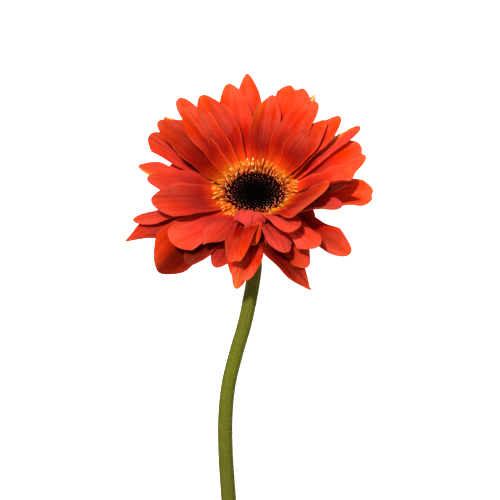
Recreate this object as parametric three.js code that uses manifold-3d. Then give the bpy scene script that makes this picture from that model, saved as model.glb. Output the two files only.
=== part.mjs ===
// A cut gerbera lying on a flat surface: a flower head of flame-red ray florets round a dark disc,
// tipped over on its lower florets, with a leafless stem that bends at the neck and lies along the surface.
// Millimetres, Z up, origin on the surface at the middle of the flower's outline.

import * as THREE from 'three';
import { mergeVertices } from 'three/addons/utils/BufferGeometryUtils.js';
import Module from 'manifold-3d';

const wasm = await Module();
wasm.setup();

// Driving dimensions of the head. Its own frame has u to the flower's right, v up its face and
// n out of its face, from the middle of the disc.
const HEAD_X = 2.3;
const HEAD_Y = 98.3;
const HEAD_HEIGHT = 25;
const HEAD_TILT = 42;

// Ray florets (the petals), in four layers from the back of the head to the front.
const LAYER_RADIUS = [13.6, 13.2, 12.8, 12.4];
const LAYER_LEVEL = [-4.6, -3.7, -2.8, -1.9];
const ROOT_THICKNESS = 1.3;
const TIP_THICKNESS = 0.8;
const THINNED_BY = 0.55;
const RAY_CELLS_LONG = 5;
const RAY_CELLS_WIDE = 4;
const LINE_STEPS = 40;
const NOTCH_WIDTH = 0.22;
const CORNER_POWER = 2.4;
const SWELL_POWER = 1.2;
const CUPPED_UNTIL = 0.12;
const SETTLE_BLEND = 2;
const HEAD_SIDES = 24;
const RAY_RING = [[11.9, -5.9], [14.3, -5.9], [14.5, -4.2], [12.6, -1.8], [11.9, -1.8]];

// Disc and the ring of tube-shaped florets between the disc and the ray florets.
const DISC_CORE = [[0, -5.9], [8.6, -5.9], [8.6, -2.4], [7.4, -1.7], [3.5, -2.1], [0, -2.5]];
const DISC_FLORETS = 47;
const DISC_FLORET_RADIUS = 0.95;
const DISC_FLORET_HEIGHT = 1.6;
const DISC_FLORET_TOP = 0.35;
const DISC_FLORET_SIDES = 4;
const DISC_DIP = -2.6;
const DISC_RIM_LIFT = 0.5;
const DISC_SIDES = 24;
const GOLDEN_ANGLE = 137.508;
const TRANS_CORE = [[8.9, -5.9], [11.6, -5.9], [11.6, -1.6], [10.6, -0.8], [8.9, -1.6]];
const TRANS_ROWS = [
  { count: 14, radius: 9.7, level: -2.2, lean: 72, long: 4.4 },
  { count: 20, radius: 10.6, level: -1.8, lean: 56, long: 5.6 },
  { count: 26, radius: 10.9, level: -1.0, lean: 46, long: 6.8 },
];
const TRANS_FLORET_SIDES = 4;
const TRANS_ROOT_RADIUS = 0.5;
const TRANS_MOUTH_RADIUS = 0.8;
const STEEP_RISE = 46;
const CROWDED_LEAN = 84;
const CROWDED_LENGTH = 0.6;

// Green cup under the head with its bracts, and the stem.
const CUP = [[0, -12], [3.6, -12], [7.5, -11], [10.8, -8.7], [12.2, -6.2], [0, -6.2]];
const BRACT_ROWS = [
  { count: 13, radius: 8.6, level: -9.5, rise: [22, 12], long: 9.0, wide: 3.4 },
  { count: 8, radius: 6.4, level: -11.2, rise: [28, 20], long: 9.5, wide: 3.6 },
];
const BRACT_CELLS_LONG = 3;
const BRACT_CELLS_WIDE = 2;
const CUP_SIDES = 22;
const BRACT_THICKNESS = 0.8;
const STEM_TOP_LEVEL = -12.3;
const STEM_TOP_RADIUS = 3.0;
const STEM_MIDDLE_RADIUS = 3.1;
const STEM_END_RADIUS = 3.5;
const STEM_SIDES = 10;
const STEM_STEPS = 36;
const NECK_STRAIGHT = 2;
const NECK_BEND = 48;

// One entry per ray floret. at: clock angle of its root in degrees from u towards v. rise: how steeply it
// stands up from the face at even steps from root to tip. sway: sideways turn to the tip. long, wide:
// blade. cup: how far it bends up across at the root. left, right: the same for its two halves further
// out. broad: how far along it is widest. claw, tip: width of root and tip against the widest. round:
// corner rounding. notch: tip notch. level: lowest level that the blade settles to.
const RAYS = [
  // Back layer, seen at the tips only where it is longer than the layers in front.
  [
    { at: 93.8, rise: [22, 38, 36, 28], long: 45, wide: 10, tip: 0.35, left: 14, right: 20 },
    { at: 103, rise: [24, 42, 36, 24], long: 41.3, wide: 14, tip: 0.7, sway: 3, left: 12, right: 36 },
    {
      at: 67.2, rise: [24, 42, 38, 28], long: 41.8, wide: 14, tip: 1.05, sway: 2, left: 10,
      right: 14, round: 0.12, notch: 0.05,
    },
    { at: 127, rise: [16, 30, 24, 17], long: 44.3, wide: 9, tip: 1, left: 16, right: 20, broad: 0.7 },
    { at: 151, rise: [10, 22, 19, 17], long: 40, wide: 12, tip: 0.9, sway: 3, left: -14, right: -14 },
    { at: 62, rise: [8, 21, 18, 15], long: 46, wide: 7, tip: 0.1, level: 1.6 },
    { at: 40, rise: [8, 22, 19, 14], long: 41, wide: 6.5, tip: 0.7, sway: -14, round: 0.3, level: 1.6 },
    { at: -7, rise: [2, 16, 13, 8], long: 37.5, wide: 17, tip: 0.9, left: 14, right: 18, notch: 0.02 },
    {
      at: -76, rise: [-8, 0, -6, -11], long: 42, wide: 15, tip: 0.15, sway: 28, left: 20,
      right: 20, broad: 0.25,
    },
    {
      at: -95.5, rise: [-4, 0, -8, -15], long: 35, wide: 15.5, tip: 0.5, sway: -6, left: 30,
      right: 34, broad: 0.62,
    },
    { at: -112, rise: [-8, -3, -8, -13], long: 27, wide: 11, tip: 0.8, left: 20, right: 20 },
    { at: -124, rise: [-8, -3, -8, -13], long: 31.5, wide: 14, tip: 0.8 },
    {
      at: -138, rise: [-8, -2, -8, -15], long: 42.5, wide: 20, tip: 0.7, left: -10, right: 44,
      level: 0.6,
    },
    { at: -155.2, rise: [-6, 4, 1, -2], long: 46.4, wide: 14, tip: 0.3, left: 24, right: 10 },
    { at: 80, rise: [-4, 8, 6, 4], long: 36, wide: 14, tip: 0.8 },
    { at: 107, rise: [-4, 8, 6, 4], long: 36, wide: 14, tip: 0.8 },
    { at: 138, rise: [-2, 10, 7, 4], long: 36, wide: 14, tip: 0.8 },
    { at: 46, rise: [-2, 9, 7, 5], long: 36, wide: 13, tip: 0.8 },
    { at: -29, rise: [-2, 8, 6, 4], long: 15, wide: 10, tip: 0.8 },
    { at: 160, rise: [4, 16, 14, 11], long: 26, wide: 13, tip: 0.8 },
  ],
  // Second layer.
  [
    {
      at: 118, rise: [26, 42, 34, 22], long: 39.3, wide: 13.5, tip: 0.5, sway: 2, left: 14,
      right: 20, round: 0.3,
    },
    { at: 82, rise: [30, 50, 44, 32], long: 35, wide: 13, tip: 0.6, sway: -9, left: 46, right: 12 },
    { at: 41, rise: [14, 28, 24, 16], long: 38.5, wide: 12, tip: 0.8, left: -10, right: 22 },
    { at: 19, rise: [12, 26, 22, 16], long: 38.5, wide: 17.5, tip: 0.8, left: -22, right: 30 },
    { at: -40.5, rise: [-2, 5, 0, -5], long: 39, wide: 12.5, tip: 0.6, left: 20, right: -34 },
    { at: -22, rise: [10, 20, 20, 19], long: 32, wide: 8, tip: 0.8, left: 20, right: 20 },
    {
      at: -58, rise: [-4, 4, -1, -6], long: 33.5, wide: 11, tip: 0.8, left: -24, right: -24,
      level: 0.6,
    },
    { at: -161, rise: [-2, 8, 6, 4], long: 41, wide: 9.5, tip: 0.8, left: -20, right: -16 },
    {
      at: 171, rise: [6, 17, 14, 10], long: 38.5, wide: 9, tip: 0.6, sway: -5, left: -10,
      right: 50, broad: 0.8,
    },
    { at: 180, rise: [14, 26, 18, 8], long: 34.3, wide: 13, tip: 0.8, left: -26, right: -20 },
    { at: 139, rise: [12, 24, 20, 15], long: 41.2, wide: 11, tip: 0.6, left: 20, right: 24 },
  ],
  // Third layer.
  [
    { at: 58, rise: [28, 46, 34, 18], long: 38, wide: 14, tip: 0.7, sway: -16, left: 16, right: 10 },
    { at: -2, rise: [20, 34, 24, 12], long: 34, wide: 14.5, tip: 0.8, left: -30, right: 20 },
    { at: -22, rise: [20, 36, 34, 32], long: 38, wide: 11, tip: 0.7, left: 20, right: 30 },
    { at: -56, rise: [16, 24, 14, 3], long: 35, wide: 12, tip: 0.8, left: -20, right: -30 },
    { at: -74.5, rise: [24, 26, 8, -12], long: 30, wide: 11, tip: 0.8, sway: 8, left: -38, right: -30 },
    {
      at: -101, rise: [16, 18, 2, -15], long: 31.5, wide: 13, tip: 0.7, left: 38, right: 38,
      notch: 0.08,
    },
    { at: -163.5, rise: [14, 26, 17, 4], long: 34.5, wide: 17, tip: 0.7, left: -22, right: -10 },
    { at: 133, rise: [26, 40, 33, 24], long: 37, wide: 12, tip: 0.7, sway: 3, left: 26, right: 14 },
  ],
  // Front layer.
  [
    { at: 39.5, rise: [28, 44, 34, 22], long: 33, wide: 13, tip: 0.6, left: 20, right: 20, claw: 0.28 },
    { at: -41, rise: [36, 50, 46, 41], long: 37, wide: 20.5, tip: 0.85, cup: 10, left: 10, right: 0 },
    { at: -66, rise: [30, 36, 28, 18], long: 30, wide: 12, tip: 0.7, sway: 4, left: -30, right: -30 },
    { at: -93, rise: [46, 20, -18, -51], long: 20, wide: 4.5, tip: 0.5, left: -50, right: -50 },
    { at: -99, rise: [64, 50, 5, -50], long: 15, wide: 13, tip: 0.6, cup: -30, left: -60, right: -60 },
    {
      at: -122.5, rise: [12, 14, 4, -6], long: 28.7, wide: 12, tip: 0.15, sway: -4, left: -30,
      right: -30,
    },
    { at: -144.5, rise: [4, 10, 0, -10], long: 33, wide: 15.5, tip: 0.8, left: -34, right: -36 },
    {
      at: 147.5, rise: [18, 32, 28, 18], long: 40.5, wide: 18.5, tip: 0.5, sway: 3, left: 26,
      right: 22,
    },
  ],
];
const RAY_HABIT = {
  cup: 40, left: 22, right: 22, claw: 0.45, broad: 0.55, tip: 0.55, round: 0.22, notch: 0, sway: 0, level: 0,
};
const BRACT_HABIT = {
  cup: 30, left: 30, right: 30, claw: 0.9, broad: 0.3, tip: 0.12, round: 0.1, notch: 0, sway: 0, level: -20,
};

const radians = THREE.MathUtils.degToRad;
const clamp = THREE.MathUtils.clamp;
const lerp = THREE.MathUtils.lerp;

// The head's own axes in the flower's frame.
const headCentre = new THREE.Vector3(HEAD_X, HEAD_Y, HEAD_HEIGHT);
const tilt = radians(HEAD_TILT);
const headFrame = new THREE.Matrix4().makeBasis(
  new THREE.Vector3(1, 0, 0),
  new THREE.Vector3(0, Math.cos(tilt), -Math.sin(tilt)),
  new THREE.Vector3(0, Math.sin(tilt), Math.cos(tilt)),
).setPosition(headCentre);

function onHead(radius, angle, level) {
  const a = radians(angle);
  return new THREE.Vector3(radius * Math.cos(a), radius * Math.sin(a), level);
}

// Shapes as closed geometry

function closedGeometry(points, faces) {
  const geometry = new THREE.BufferGeometry().setFromPoints(points);
  geometry.setIndex(faces.flat());
  return geometry;
}

// A thin blade from two grids of points with the same diagonals, closed round its edge.
function bladeGeometry(top, bottom, long, wide) {
  const row = wide + 1;
  const under = top.length;
  const faces = [];
  const wall = (a, b) => faces.push([a, a + under, b], [b, a + under, b + under]);
  for (let i = 0; i < long; i += 1) {
    for (let j = 0; j < wide; j += 1) {
      const a = i * row + j;
      const b = a + row;
      faces.push([a, b, b + 1], [a, b + 1, a + 1]);
      faces.push([a + under, b + 1 + under, b + under], [a + under, a + 1 + under, b + 1 + under]);
    }
    wall(i * row, (i + 1) * row);
    wall((i + 1) * row + wide, i * row + wide);
  }
  for (let j = 0; j < wide; j += 1) {
    wall(j + 1, j);
    wall(long * row + j, long * row + j + 1);
  }
  return closedGeometry([...top, ...bottom], faces);
}

// Half width of a blade at s along it, 0 at the root and 1 at the tip.
function halfWidth(blade, s) {
  const swell = Math.sin(clamp(s / blade.broad, 0, 1) * Math.PI / 2) ** SWELL_POWER;
  const past = clamp((s - blade.broad) / (1 - blade.broad), 0, 1);
  const narrowing = 1 - (1 - blade.tip) * past ** 2;
  return blade.wide / 2 * (blade.claw + (1 - blade.claw) * swell) * narrowing;
}

// How far along the blade its edge of the tip lies at v across it, -1 to 1.
function reachAcross(blade, v) {
  return 1 - blade.round * Math.abs(v) ** CORNER_POWER - blade.notch * Math.exp(-((v / NOTCH_WIDTH) ** 2));
}

// The level at which a blade settles: free above the surface, flat on it, with a smooth bend between.
function settled(z, floor) {
  const above = z - floor;
  if (above > SETTLE_BLEND) {
    return z;
  }
  return above < -SETTLE_BLEND ? floor : floor + (above + SETTLE_BLEND) ** 2 / (4 * SETTLE_BLEND);
}

// Value at s of values that are given at even steps from the root to the tip.
function between(values, s) {
  const place = clamp(s, 0, 1) * (values.length - 1);
  const k = Math.min(Math.floor(place), values.length - 2);
  return lerp(values[k], values[k + 1], place - k);
}

// Direction of the blade's middle line and its side at s, in the head's frame.
function bladeDirection(blade, s) {
  const rise = radians(between(blade.rise, s));
  const turn = radians(blade.at + blade.sway * s);
  const ahead = new THREE.Vector3(
    Math.cos(rise) * Math.cos(turn), Math.cos(rise) * Math.sin(turn), Math.sin(rise),
  );
  const side = new THREE.Vector3(-Math.sin(turn), Math.cos(turn), 0);
  return { ahead, side, up: new THREE.Vector3().crossVectors(ahead, side) };
}

// How far the blade bends up across, in radians, at s along it and v across it.
function bendAcross(blade, s, v) {
  const opened = clamp((s - CUPPED_UNTIL) / 0.8, 0, 1);
  const bend = lerp(blade.cup, v < 0 ? blade.right : blade.left, opened);
  return radians(Math.abs(bend) < 1 ? 1 : bend);
}

// A blade of the head in the flower's frame: its middle surface follows a curved line, cupped across.
function blade(shape, root, thickness, long, wide) {
  const line = [root.clone()];
  for (let k = 0; k < LINE_STEPS; k += 1) {
    const { ahead } = bladeDirection(shape, (k + 0.5) / LINE_STEPS);
    line.push(line[k].clone().addScaledVector(ahead, shape.long / LINE_STEPS));
  }
  const middle = (s) => {
    const k = clamp(Math.floor(s * LINE_STEPS), 0, LINE_STEPS - 1);
    return line[k].clone().lerp(line[k + 1], s * LINE_STEPS - k);
  };
  const halfThickness = (s) => lerp(thickness[0], thickness[1], clamp(s / THINNED_BY, 0, 1)) / 2;
  const at = (s, v) => {
    const { side, up } = bladeDirection(shape, s);
    const bend = bendAcross(shape, s, v);
    const half = halfWidth(shape, s) / bend;
    const point = middle(s)
      .addScaledVector(side, Math.sign(v) * Math.sin(bend * Math.abs(v)) * half)
      .addScaledVector(up, (1 - Math.cos(bend * v)) * half)
      .applyMatrix4(headFrame);
    point.z = settled(point.z, shape.level + halfThickness(s));
    return point;
  };
  const top = [];
  const bottom = [];
  const small = 0.01;
  for (let i = 0; i <= long; i += 1) {
    for (let j = 0; j <= wide; j += 1) {
      const v = 2 * j / wide - 1;
      const s = i / long * reachAcross(shape, v);
      const point = at(s, v);
      const along = at(s + small, v).sub(at(s - small, v));
      const across = at(s, v + small).sub(at(s, v - small));
      const normal = along.cross(across).normalize();
      top.push(point.clone().addScaledVector(normal, halfThickness(s)));
      bottom.push(point.clone().addScaledVector(normal, -halfThickness(s)));
    }
  }
  return bladeGeometry(top, bottom, long, wide);
}

// A body turned round the head's axis from its outline, listed as [radius, level].
function turned(outline, segments) {
  const closed = outline[0][0] > 0 ? [...outline, outline[0]] : outline;
  const points = closed.map(([radius, level]) => new THREE.Vector2(radius, level));
  const geometry = new THREE.LatheGeometry(points, segments);
  geometry.rotateX(Math.PI / 2);
  return geometry.applyMatrix4(headFrame);
}

// A straight tube-shaped floret from its root to its wider mouth, in the flower's frame.
function tubeFloret(root, mouth, rootRadius, mouthRadius, sides) {
  const length = root.distanceTo(mouth);
  const geometry = new THREE.CylinderGeometry(mouthRadius, rootRadius, length, sides, 1);
  const way = new THREE.Vector3().subVectors(mouth, root).normalize();
  geometry.applyQuaternion(new THREE.Quaternion().setFromUnitVectors(new THREE.Vector3(0, 1, 0), way));
  const middle = new THREE.Vector3().addVectors(root, mouth).multiplyScalar(0.5);
  geometry.translate(middle.x, middle.y, middle.z);
  return geometry.applyMatrix4(headFrame);
}

// A rod of changing radius along a curve, flat at both ends.
function rod(curve, radiusAt, sides, steps) {
  const frames = curve.computeFrenetFrames(steps, false);
  const points = [];
  const faces = [];
  for (let i = 0; i <= steps; i += 1) {
    const centre = curve.getPointAt(i / steps);
    for (let j = 0; j < sides; j += 1) {
      const a = (j + 0.5) / sides * 2 * Math.PI;
      points.push(centre.clone()
        .addScaledVector(frames.normals[i], Math.cos(a) * radiusAt(i / steps))
        .addScaledVector(frames.binormals[i], Math.sin(a) * radiusAt(i / steps)));
      if (i > 0) {
        const b = i * sides + j;
        const c = i * sides + (j + 1) % sides;
        faces.push([b - sides, c - sides, c], [b - sides, c, b]);
      }
    }
  }
  const last = steps * sides;
  for (let j = 1; j < sides - 1; j += 1) {
    faces.push([0, j + 1, j], [last, last + j, last + j + 1]);
  }
  return closedGeometry(points, faces);
}

// Joining shapes into one body

function solidFrom(geometry) {
  const plain = geometry.clone();
  plain.deleteAttribute('normal');
  plain.deleteAttribute('uv');
  const merged = mergeVertices(plain, 1e-4);
  return new wasm.Manifold(new wasm.Mesh({
    numProp: 3,
    vertProperties: new Float32Array(merged.attributes.position.array),
    triVerts: new Uint32Array(merged.index.array),
  }));
}

// One body from shapes that overlap. Pockets that they close off are filled, and loose scraps left out.
function fused(geometries) {
  const union = wasm.Manifold.union(geometries.map(solidFrom));
  const body = union.decompose().sort((a, b) => b.volume() - a.volume())[0];
  const mesh = body.getMesh();
  const geometry = new THREE.BufferGeometry();
  geometry.setAttribute('position', new THREE.BufferAttribute(mesh.vertProperties, 3));
  geometry.setIndex(new THREE.BufferAttribute(mesh.triVerts, 1));
  return geometry;
}

// The flower's pieces

function rayFlorets() {
  const shapes = [turned(RAY_RING, HEAD_SIDES)];
  RAYS.forEach((layer, number) => {
    layer.forEach((ray) => {
      const shape = { ...RAY_HABIT, ...ray };
      const root = onHead(LAYER_RADIUS[number], shape.at, LAYER_LEVEL[number]);
      const thickness = [ROOT_THICKNESS, TIP_THICKNESS];
      shapes.push(blade(shape, root, thickness, RAY_CELLS_LONG, RAY_CELLS_WIDE));
    });
  });
  return fused(shapes);
}

// Tube-shaped florets lean out over the roots of the ray florets, apart from where a front ray floret
// stands up steeply from its root.
function transFlorets() {
  const steep = RAYS[3].filter((ray) => Math.max(ray.rise[0], ray.rise[1]) > STEEP_RISE);
  const crowded = (angle, radius) => steep.some((ray) => {
    const apart = Math.abs(((angle - ray.at) % 360 + 540) % 360 - 180);
    return radians(apart) * radius < ray.wide * 0.3 + TRANS_MOUTH_RADIUS + 0.4;
  });
  const shapes = [turned(TRANS_CORE, HEAD_SIDES)];
  TRANS_ROWS.forEach((row, number) => {
    for (let k = 0; k < row.count; k += 1) {
      const angle = (k + 0.5 * (number % 2)) / row.count * 360;
      const lean = crowded(angle, row.radius) ? CROWDED_LEAN : row.lean;
      const long = crowded(angle, row.radius) ? row.long * CROWDED_LENGTH : row.long;
      const root = onHead(row.radius, angle, row.level);
      const reach = row.radius + long * Math.cos(radians(lean));
      const mouth = onHead(reach, angle, row.level + long * Math.sin(radians(lean)));
      shapes.push(tubeFloret(root, mouth, TRANS_ROOT_RADIUS, TRANS_MOUTH_RADIUS, TRANS_FLORET_SIDES));
    }
  });
  return fused(shapes);
}

// Closed buds of the disc in the spiral of a sunflower's seeds.
function discFlorets() {
  const shapes = [turned(DISC_CORE, DISC_SIDES)];
  const outer = DISC_CORE[2][0] - DISC_FLORET_RADIUS;
  for (let k = 0; k < DISC_FLORETS; k += 1) {
    const radius = outer * Math.sqrt((k + 0.5) / DISC_FLORETS);
    const level = DISC_DIP + DISC_RIM_LIFT * (radius / outer) ** 2;
    const root = onHead(radius, k * GOLDEN_ANGLE, level);
    const mouth = onHead(radius, k * GOLDEN_ANGLE, level + DISC_FLORET_HEIGHT);
    const topRadius = DISC_FLORET_RADIUS * DISC_FLORET_TOP;
    shapes.push(tubeFloret(root, mouth, DISC_FLORET_RADIUS, topRadius, DISC_FLORET_SIDES));
  }
  return fused(shapes);
}

function involucre() {
  const shapes = [turned(CUP, CUP_SIDES)];
  BRACT_ROWS.forEach((row, number) => {
    for (let k = 0; k < row.count; k += 1) {
      const shape = { ...BRACT_HABIT, ...row, at: (k + 0.5 * number) / row.count * 360 };
      const root = onHead(row.radius, shape.at, row.level);
      const thickness = [BRACT_THICKNESS, BRACT_THICKNESS];
      shapes.push(blade(shape, root, thickness, BRACT_CELLS_LONG, BRACT_CELLS_WIDE));
    }
  });
  return fused(shapes);
}

// The neck is an arc from under the cup down to the surface, and the rest lies along the surface.
function stemCurve() {
  const top = new THREE.Vector3(0, 0, STEM_TOP_LEVEL).applyMatrix4(headFrame);
  const start = new THREE.Vector3(0, 0, STEM_TOP_LEVEL - NECK_STRAIGHT).applyMatrix4(headFrame);
  const bend = radians(NECK_BEND);
  const radius = (start.z - STEM_END_RADIUS) / (1 - Math.cos(bend));
  const points = [top];
  for (let k = 0; k <= 5; k += 1) {
    const slope = bend * (1 - k / 5);
    points.push(new THREE.Vector3(
      HEAD_X,
      start.y - radius * (Math.sin(bend) - Math.sin(slope)),
      STEM_END_RADIUS + radius * (1 - Math.cos(slope)),
    ));
  }
  const lying = [[-4, -56], [-8, -70], [-11.4, -84], [-12.8, -98], [-12.8, -112], [-12, -126],
    [-10.4, -145], [-7.5, -170], [-4.6, -195], [-2, -220], [0, -247]];
  lying.forEach(([x, y]) => points.push(new THREE.Vector3(HEAD_X + x, HEAD_Y + y, STEM_END_RADIUS)));
  return new THREE.CatmullRomCurve3(points, false, 'centripetal');
}

function stem() {
  const radiusAt = (s) => (s < 0.3
    ? THREE.MathUtils.lerp(STEM_TOP_RADIUS, STEM_MIDDLE_RADIUS, s / 0.3)
    : THREE.MathUtils.lerp(STEM_MIDDLE_RADIUS, STEM_END_RADIUS, (s - 0.3) / 0.7));
  return rod(stemCurve(), radiusAt, STEM_SIDES, STEM_STEPS);
}

function piece(name, geometry, color, roughness) {
  const material = new THREE.MeshStandardMaterial({ color, roughness, metalness: 0 });
  const mesh = new THREE.Mesh(geometry, material);
  mesh.name = name;
  return mesh;
}

const gerbera = new THREE.Group();
gerbera.add(piece('ray_florets', rayFlorets(), 0xe83c14, 0.55));
gerbera.add(piece('trans_florets', transFlorets(), 0xf09a2c, 0.6));
gerbera.add(piece('disc_florets', discFlorets(), 0x1c0c08, 0.7));
gerbera.add(piece('involucre', involucre(), 0x566b22, 0.7));
gerbera.add(piece('stem', stem(), 0x6b7a1c, 0.6));

export default gerbera;
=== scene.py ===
# %% [markdown]
# # A cut gerbera, lying down
# A gerbera looks like one flower, but its head is a crowd of small ones: long ray florets that people
# call petals, a ring of short tube-shaped florets inside them, and a dark disc of buds in the middle.
# Under the head sits a green cup of bracts, and all of it stands on a leafless, hairy stem.
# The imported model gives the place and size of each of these. This script gives them their finish.

# %% Load the frame that every piece is built around
import math

import bpy
import numpy as np
from mathutils import Matrix, Vector


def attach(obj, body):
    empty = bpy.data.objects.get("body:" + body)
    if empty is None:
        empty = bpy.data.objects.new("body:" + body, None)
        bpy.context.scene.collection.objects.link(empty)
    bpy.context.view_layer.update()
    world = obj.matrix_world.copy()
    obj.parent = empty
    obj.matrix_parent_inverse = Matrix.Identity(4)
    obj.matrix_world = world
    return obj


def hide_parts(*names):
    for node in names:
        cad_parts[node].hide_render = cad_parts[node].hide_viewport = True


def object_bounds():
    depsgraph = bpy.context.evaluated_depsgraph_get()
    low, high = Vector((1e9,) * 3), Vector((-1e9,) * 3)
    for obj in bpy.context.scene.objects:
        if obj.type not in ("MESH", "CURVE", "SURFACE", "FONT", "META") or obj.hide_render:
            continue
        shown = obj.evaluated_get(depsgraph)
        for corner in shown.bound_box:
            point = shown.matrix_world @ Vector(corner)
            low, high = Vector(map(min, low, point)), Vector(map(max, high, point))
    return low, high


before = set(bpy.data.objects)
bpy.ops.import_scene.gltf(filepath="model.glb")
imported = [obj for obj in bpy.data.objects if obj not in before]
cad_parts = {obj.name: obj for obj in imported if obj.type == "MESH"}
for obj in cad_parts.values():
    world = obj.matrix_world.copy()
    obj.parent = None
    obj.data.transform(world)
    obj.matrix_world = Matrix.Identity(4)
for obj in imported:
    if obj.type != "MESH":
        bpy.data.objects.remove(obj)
cad_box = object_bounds()
MM = 0.001
print("nodes to dress:", sorted(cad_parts))
print("size in mm:", [round((b - a) / MM, 1) for a, b in zip(*cad_box)])

# %% [markdown]
# ## Where the head sits
# The flower lies on a table and its head is tipped back, so the face looks up and a little forward.
# All florets are easier to describe in the head's own directions, with u to the right, v up the face
# and n out of it, and one matrix then turns them into the table's directions.

# %% The head's own directions
HEAD_CENTRE = np.array([2.3, 98.3, 25.0])
HEAD_TILT = math.radians(42)
u_axis = np.array([1.0, 0.0, 0.0])
v_axis = np.array([0.0, math.cos(HEAD_TILT), -math.sin(HEAD_TILT)])
n_axis = np.array([0.0, math.sin(HEAD_TILT), math.cos(HEAD_TILT)])
head_turn = np.stack([u_axis, v_axis, n_axis], 1)
head_matrix = Matrix.Translation(Vector(HEAD_CENTRE * MM)) @ Matrix(head_turn.tolist()).to_4x4()


def on_table(points):
    """Head directions to table directions, in millimetres."""
    return HEAD_CENTRE + points @ head_turn.T


print("the face points along", n_axis.round(3))

# %% [markdown]
# ## Camera
# The photograph looks square on to the lying flower with a long lens, so perspective is weak. A camera
# 80 cm above the head, looking straight down, gives the same view. Its place follows from the pixel on
# which the middle of the disc falls, and its focal length from the head's real width.

# %% Camera straight above the flower
FRAME_PIXELS = 500
MM_PER_PIXEL = 0.425
DISC_PIXEL = (255, 190)
CAMERA_ABOVE_HEAD = 800.0
SENSOR_MM = 36.0

camera_data = bpy.data.cameras.new("camera")
camera_data.sensor_width = SENSOR_MM
camera_data.lens = SENSOR_MM * CAMERA_ABOVE_HEAD / (FRAME_PIXELS * MM_PER_PIXEL)
camera_data.clip_end = 20
camera = bpy.data.objects.new("camera", camera_data)
bpy.context.scene.collection.objects.link(camera)
across_frame = (FRAME_PIXELS / 2 - DISC_PIXEL[0]) * MM_PER_PIXEL
down_frame = (FRAME_PIXELS / 2 - DISC_PIXEL[1]) * MM_PER_PIXEL
camera.location = Vector(HEAD_CENTRE + [across_frame, -down_frame, CAMERA_ABOVE_HEAD]) * MM
bpy.context.scene.camera = camera
print("lens", round(camera_data.lens, 1), "mm")

# %% [markdown]
# ## Floor and light
# The flower is shot on white. A broad pale floor and an even white surround give that, and one small
# strong lamp from the upper left throws the crisp petal shadows that the photograph shows.

# %% Small helpers for node trees


def add_node(tree, kind, values=None, **settings):
    """Adds a node, sets its properties, and fills or links its inputs."""
    made = tree.nodes.new(kind)
    for key, value in settings.items():
        setattr(made, key, value)
    for key, value in (values or {}).items():
        if isinstance(value, bpy.types.NodeSocket):
            tree.links.new(value, made.inputs[key])
        else:
            made.inputs[key].default_value = value
    return made


def math_node(tree, operation, *values):
    return add_node(tree, "ShaderNodeMath", dict(enumerate(values)), operation=operation).outputs[0]


def scaled(tree, vector, factor):
    return add_node(tree, "ShaderNodeVectorMath", {0: vector, "Scale": factor}, operation="SCALE").outputs[0]


print("helpers ready")

# %% Floor, surround and lamp
FLOOR_SIZE = 6.0
FLOOR_COLOR = (0.93, 0.93, 0.925, 1)
FLOOR_GLOW = 1.0
FLOOR_ROUGHNESS = 0.9
FLOOR_GAP = 0.0002
SURROUND_STRENGTH = 0.46
LAMP_STRENGTH = 3.35
LAMP_SOFTNESS = math.radians(3.0)
LAMP_COLOR = (1.0, 0.985, 0.96)
LAMP_TRAVEL = Vector((0.24, -0.36, -0.90))


def lay_floor():
    material = bpy.data.materials.new("pale_floor")
    material.use_nodes = True
    shader = material.node_tree.nodes["Principled BSDF"]
    shader.inputs["Base Color"].default_value = FLOOR_COLOR
    shader.inputs["Roughness"].default_value = FLOOR_ROUGHNESS
    shader.inputs["Emission Color"].default_value = FLOOR_COLOR
    shader.inputs["Emission Strength"].default_value = FLOOR_GLOW
    bpy.ops.mesh.primitive_grid_add(x_subdivisions=4, y_subdivisions=4, size=FLOOR_SIZE)
    floor = bpy.context.object
    floor.name = "floor"
    floor.location.z = cad_box[0].z - FLOOR_GAP
    floor.data.materials.append(material)
    floor.visible_diffuse = False
    floor.visible_glossy = False


def hang_lamp():
    lamp = bpy.data.lights.new("lamp", "SUN")
    lamp.energy = LAMP_STRENGTH
    lamp.angle = LAMP_SOFTNESS
    lamp.color = LAMP_COLOR
    holder = bpy.data.objects.new("lamp", lamp)
    holder.rotation_euler = LAMP_TRAVEL.to_track_quat("-Z", "Y").to_euler()
    bpy.context.scene.collection.objects.link(holder)


def surround():
    world = bpy.data.worlds.new("surround")
    world.use_nodes = True
    background = world.node_tree.nodes["Background"]
    background.inputs["Color"].default_value = (1, 1, 1, 1)
    background.inputs["Strength"].default_value = SURROUND_STRENGTH
    bpy.context.scene.world = world


lay_floor()
hang_lamp()
surround()
bpy.context.scene.view_settings.view_transform = "Standard"
bpy.context.scene.view_settings.look = "Medium High Contrast"
print("floor at", round(cad_box[0].z / MM, 2), "mm")

# %% [markdown]
# ## A shared effect: mottled tissue
# No part of a flower is one flat colour: cells hold more or less pigment, and the skin is finely
# uneven. One node group gives every finish here that unevenness. It takes a colour and gives back a
# mottled colour and a height for the bump, each finish with its own scale and strength.

# %% Node group for mottled tissue
FINE_PER_BROAD = 7.0


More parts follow.
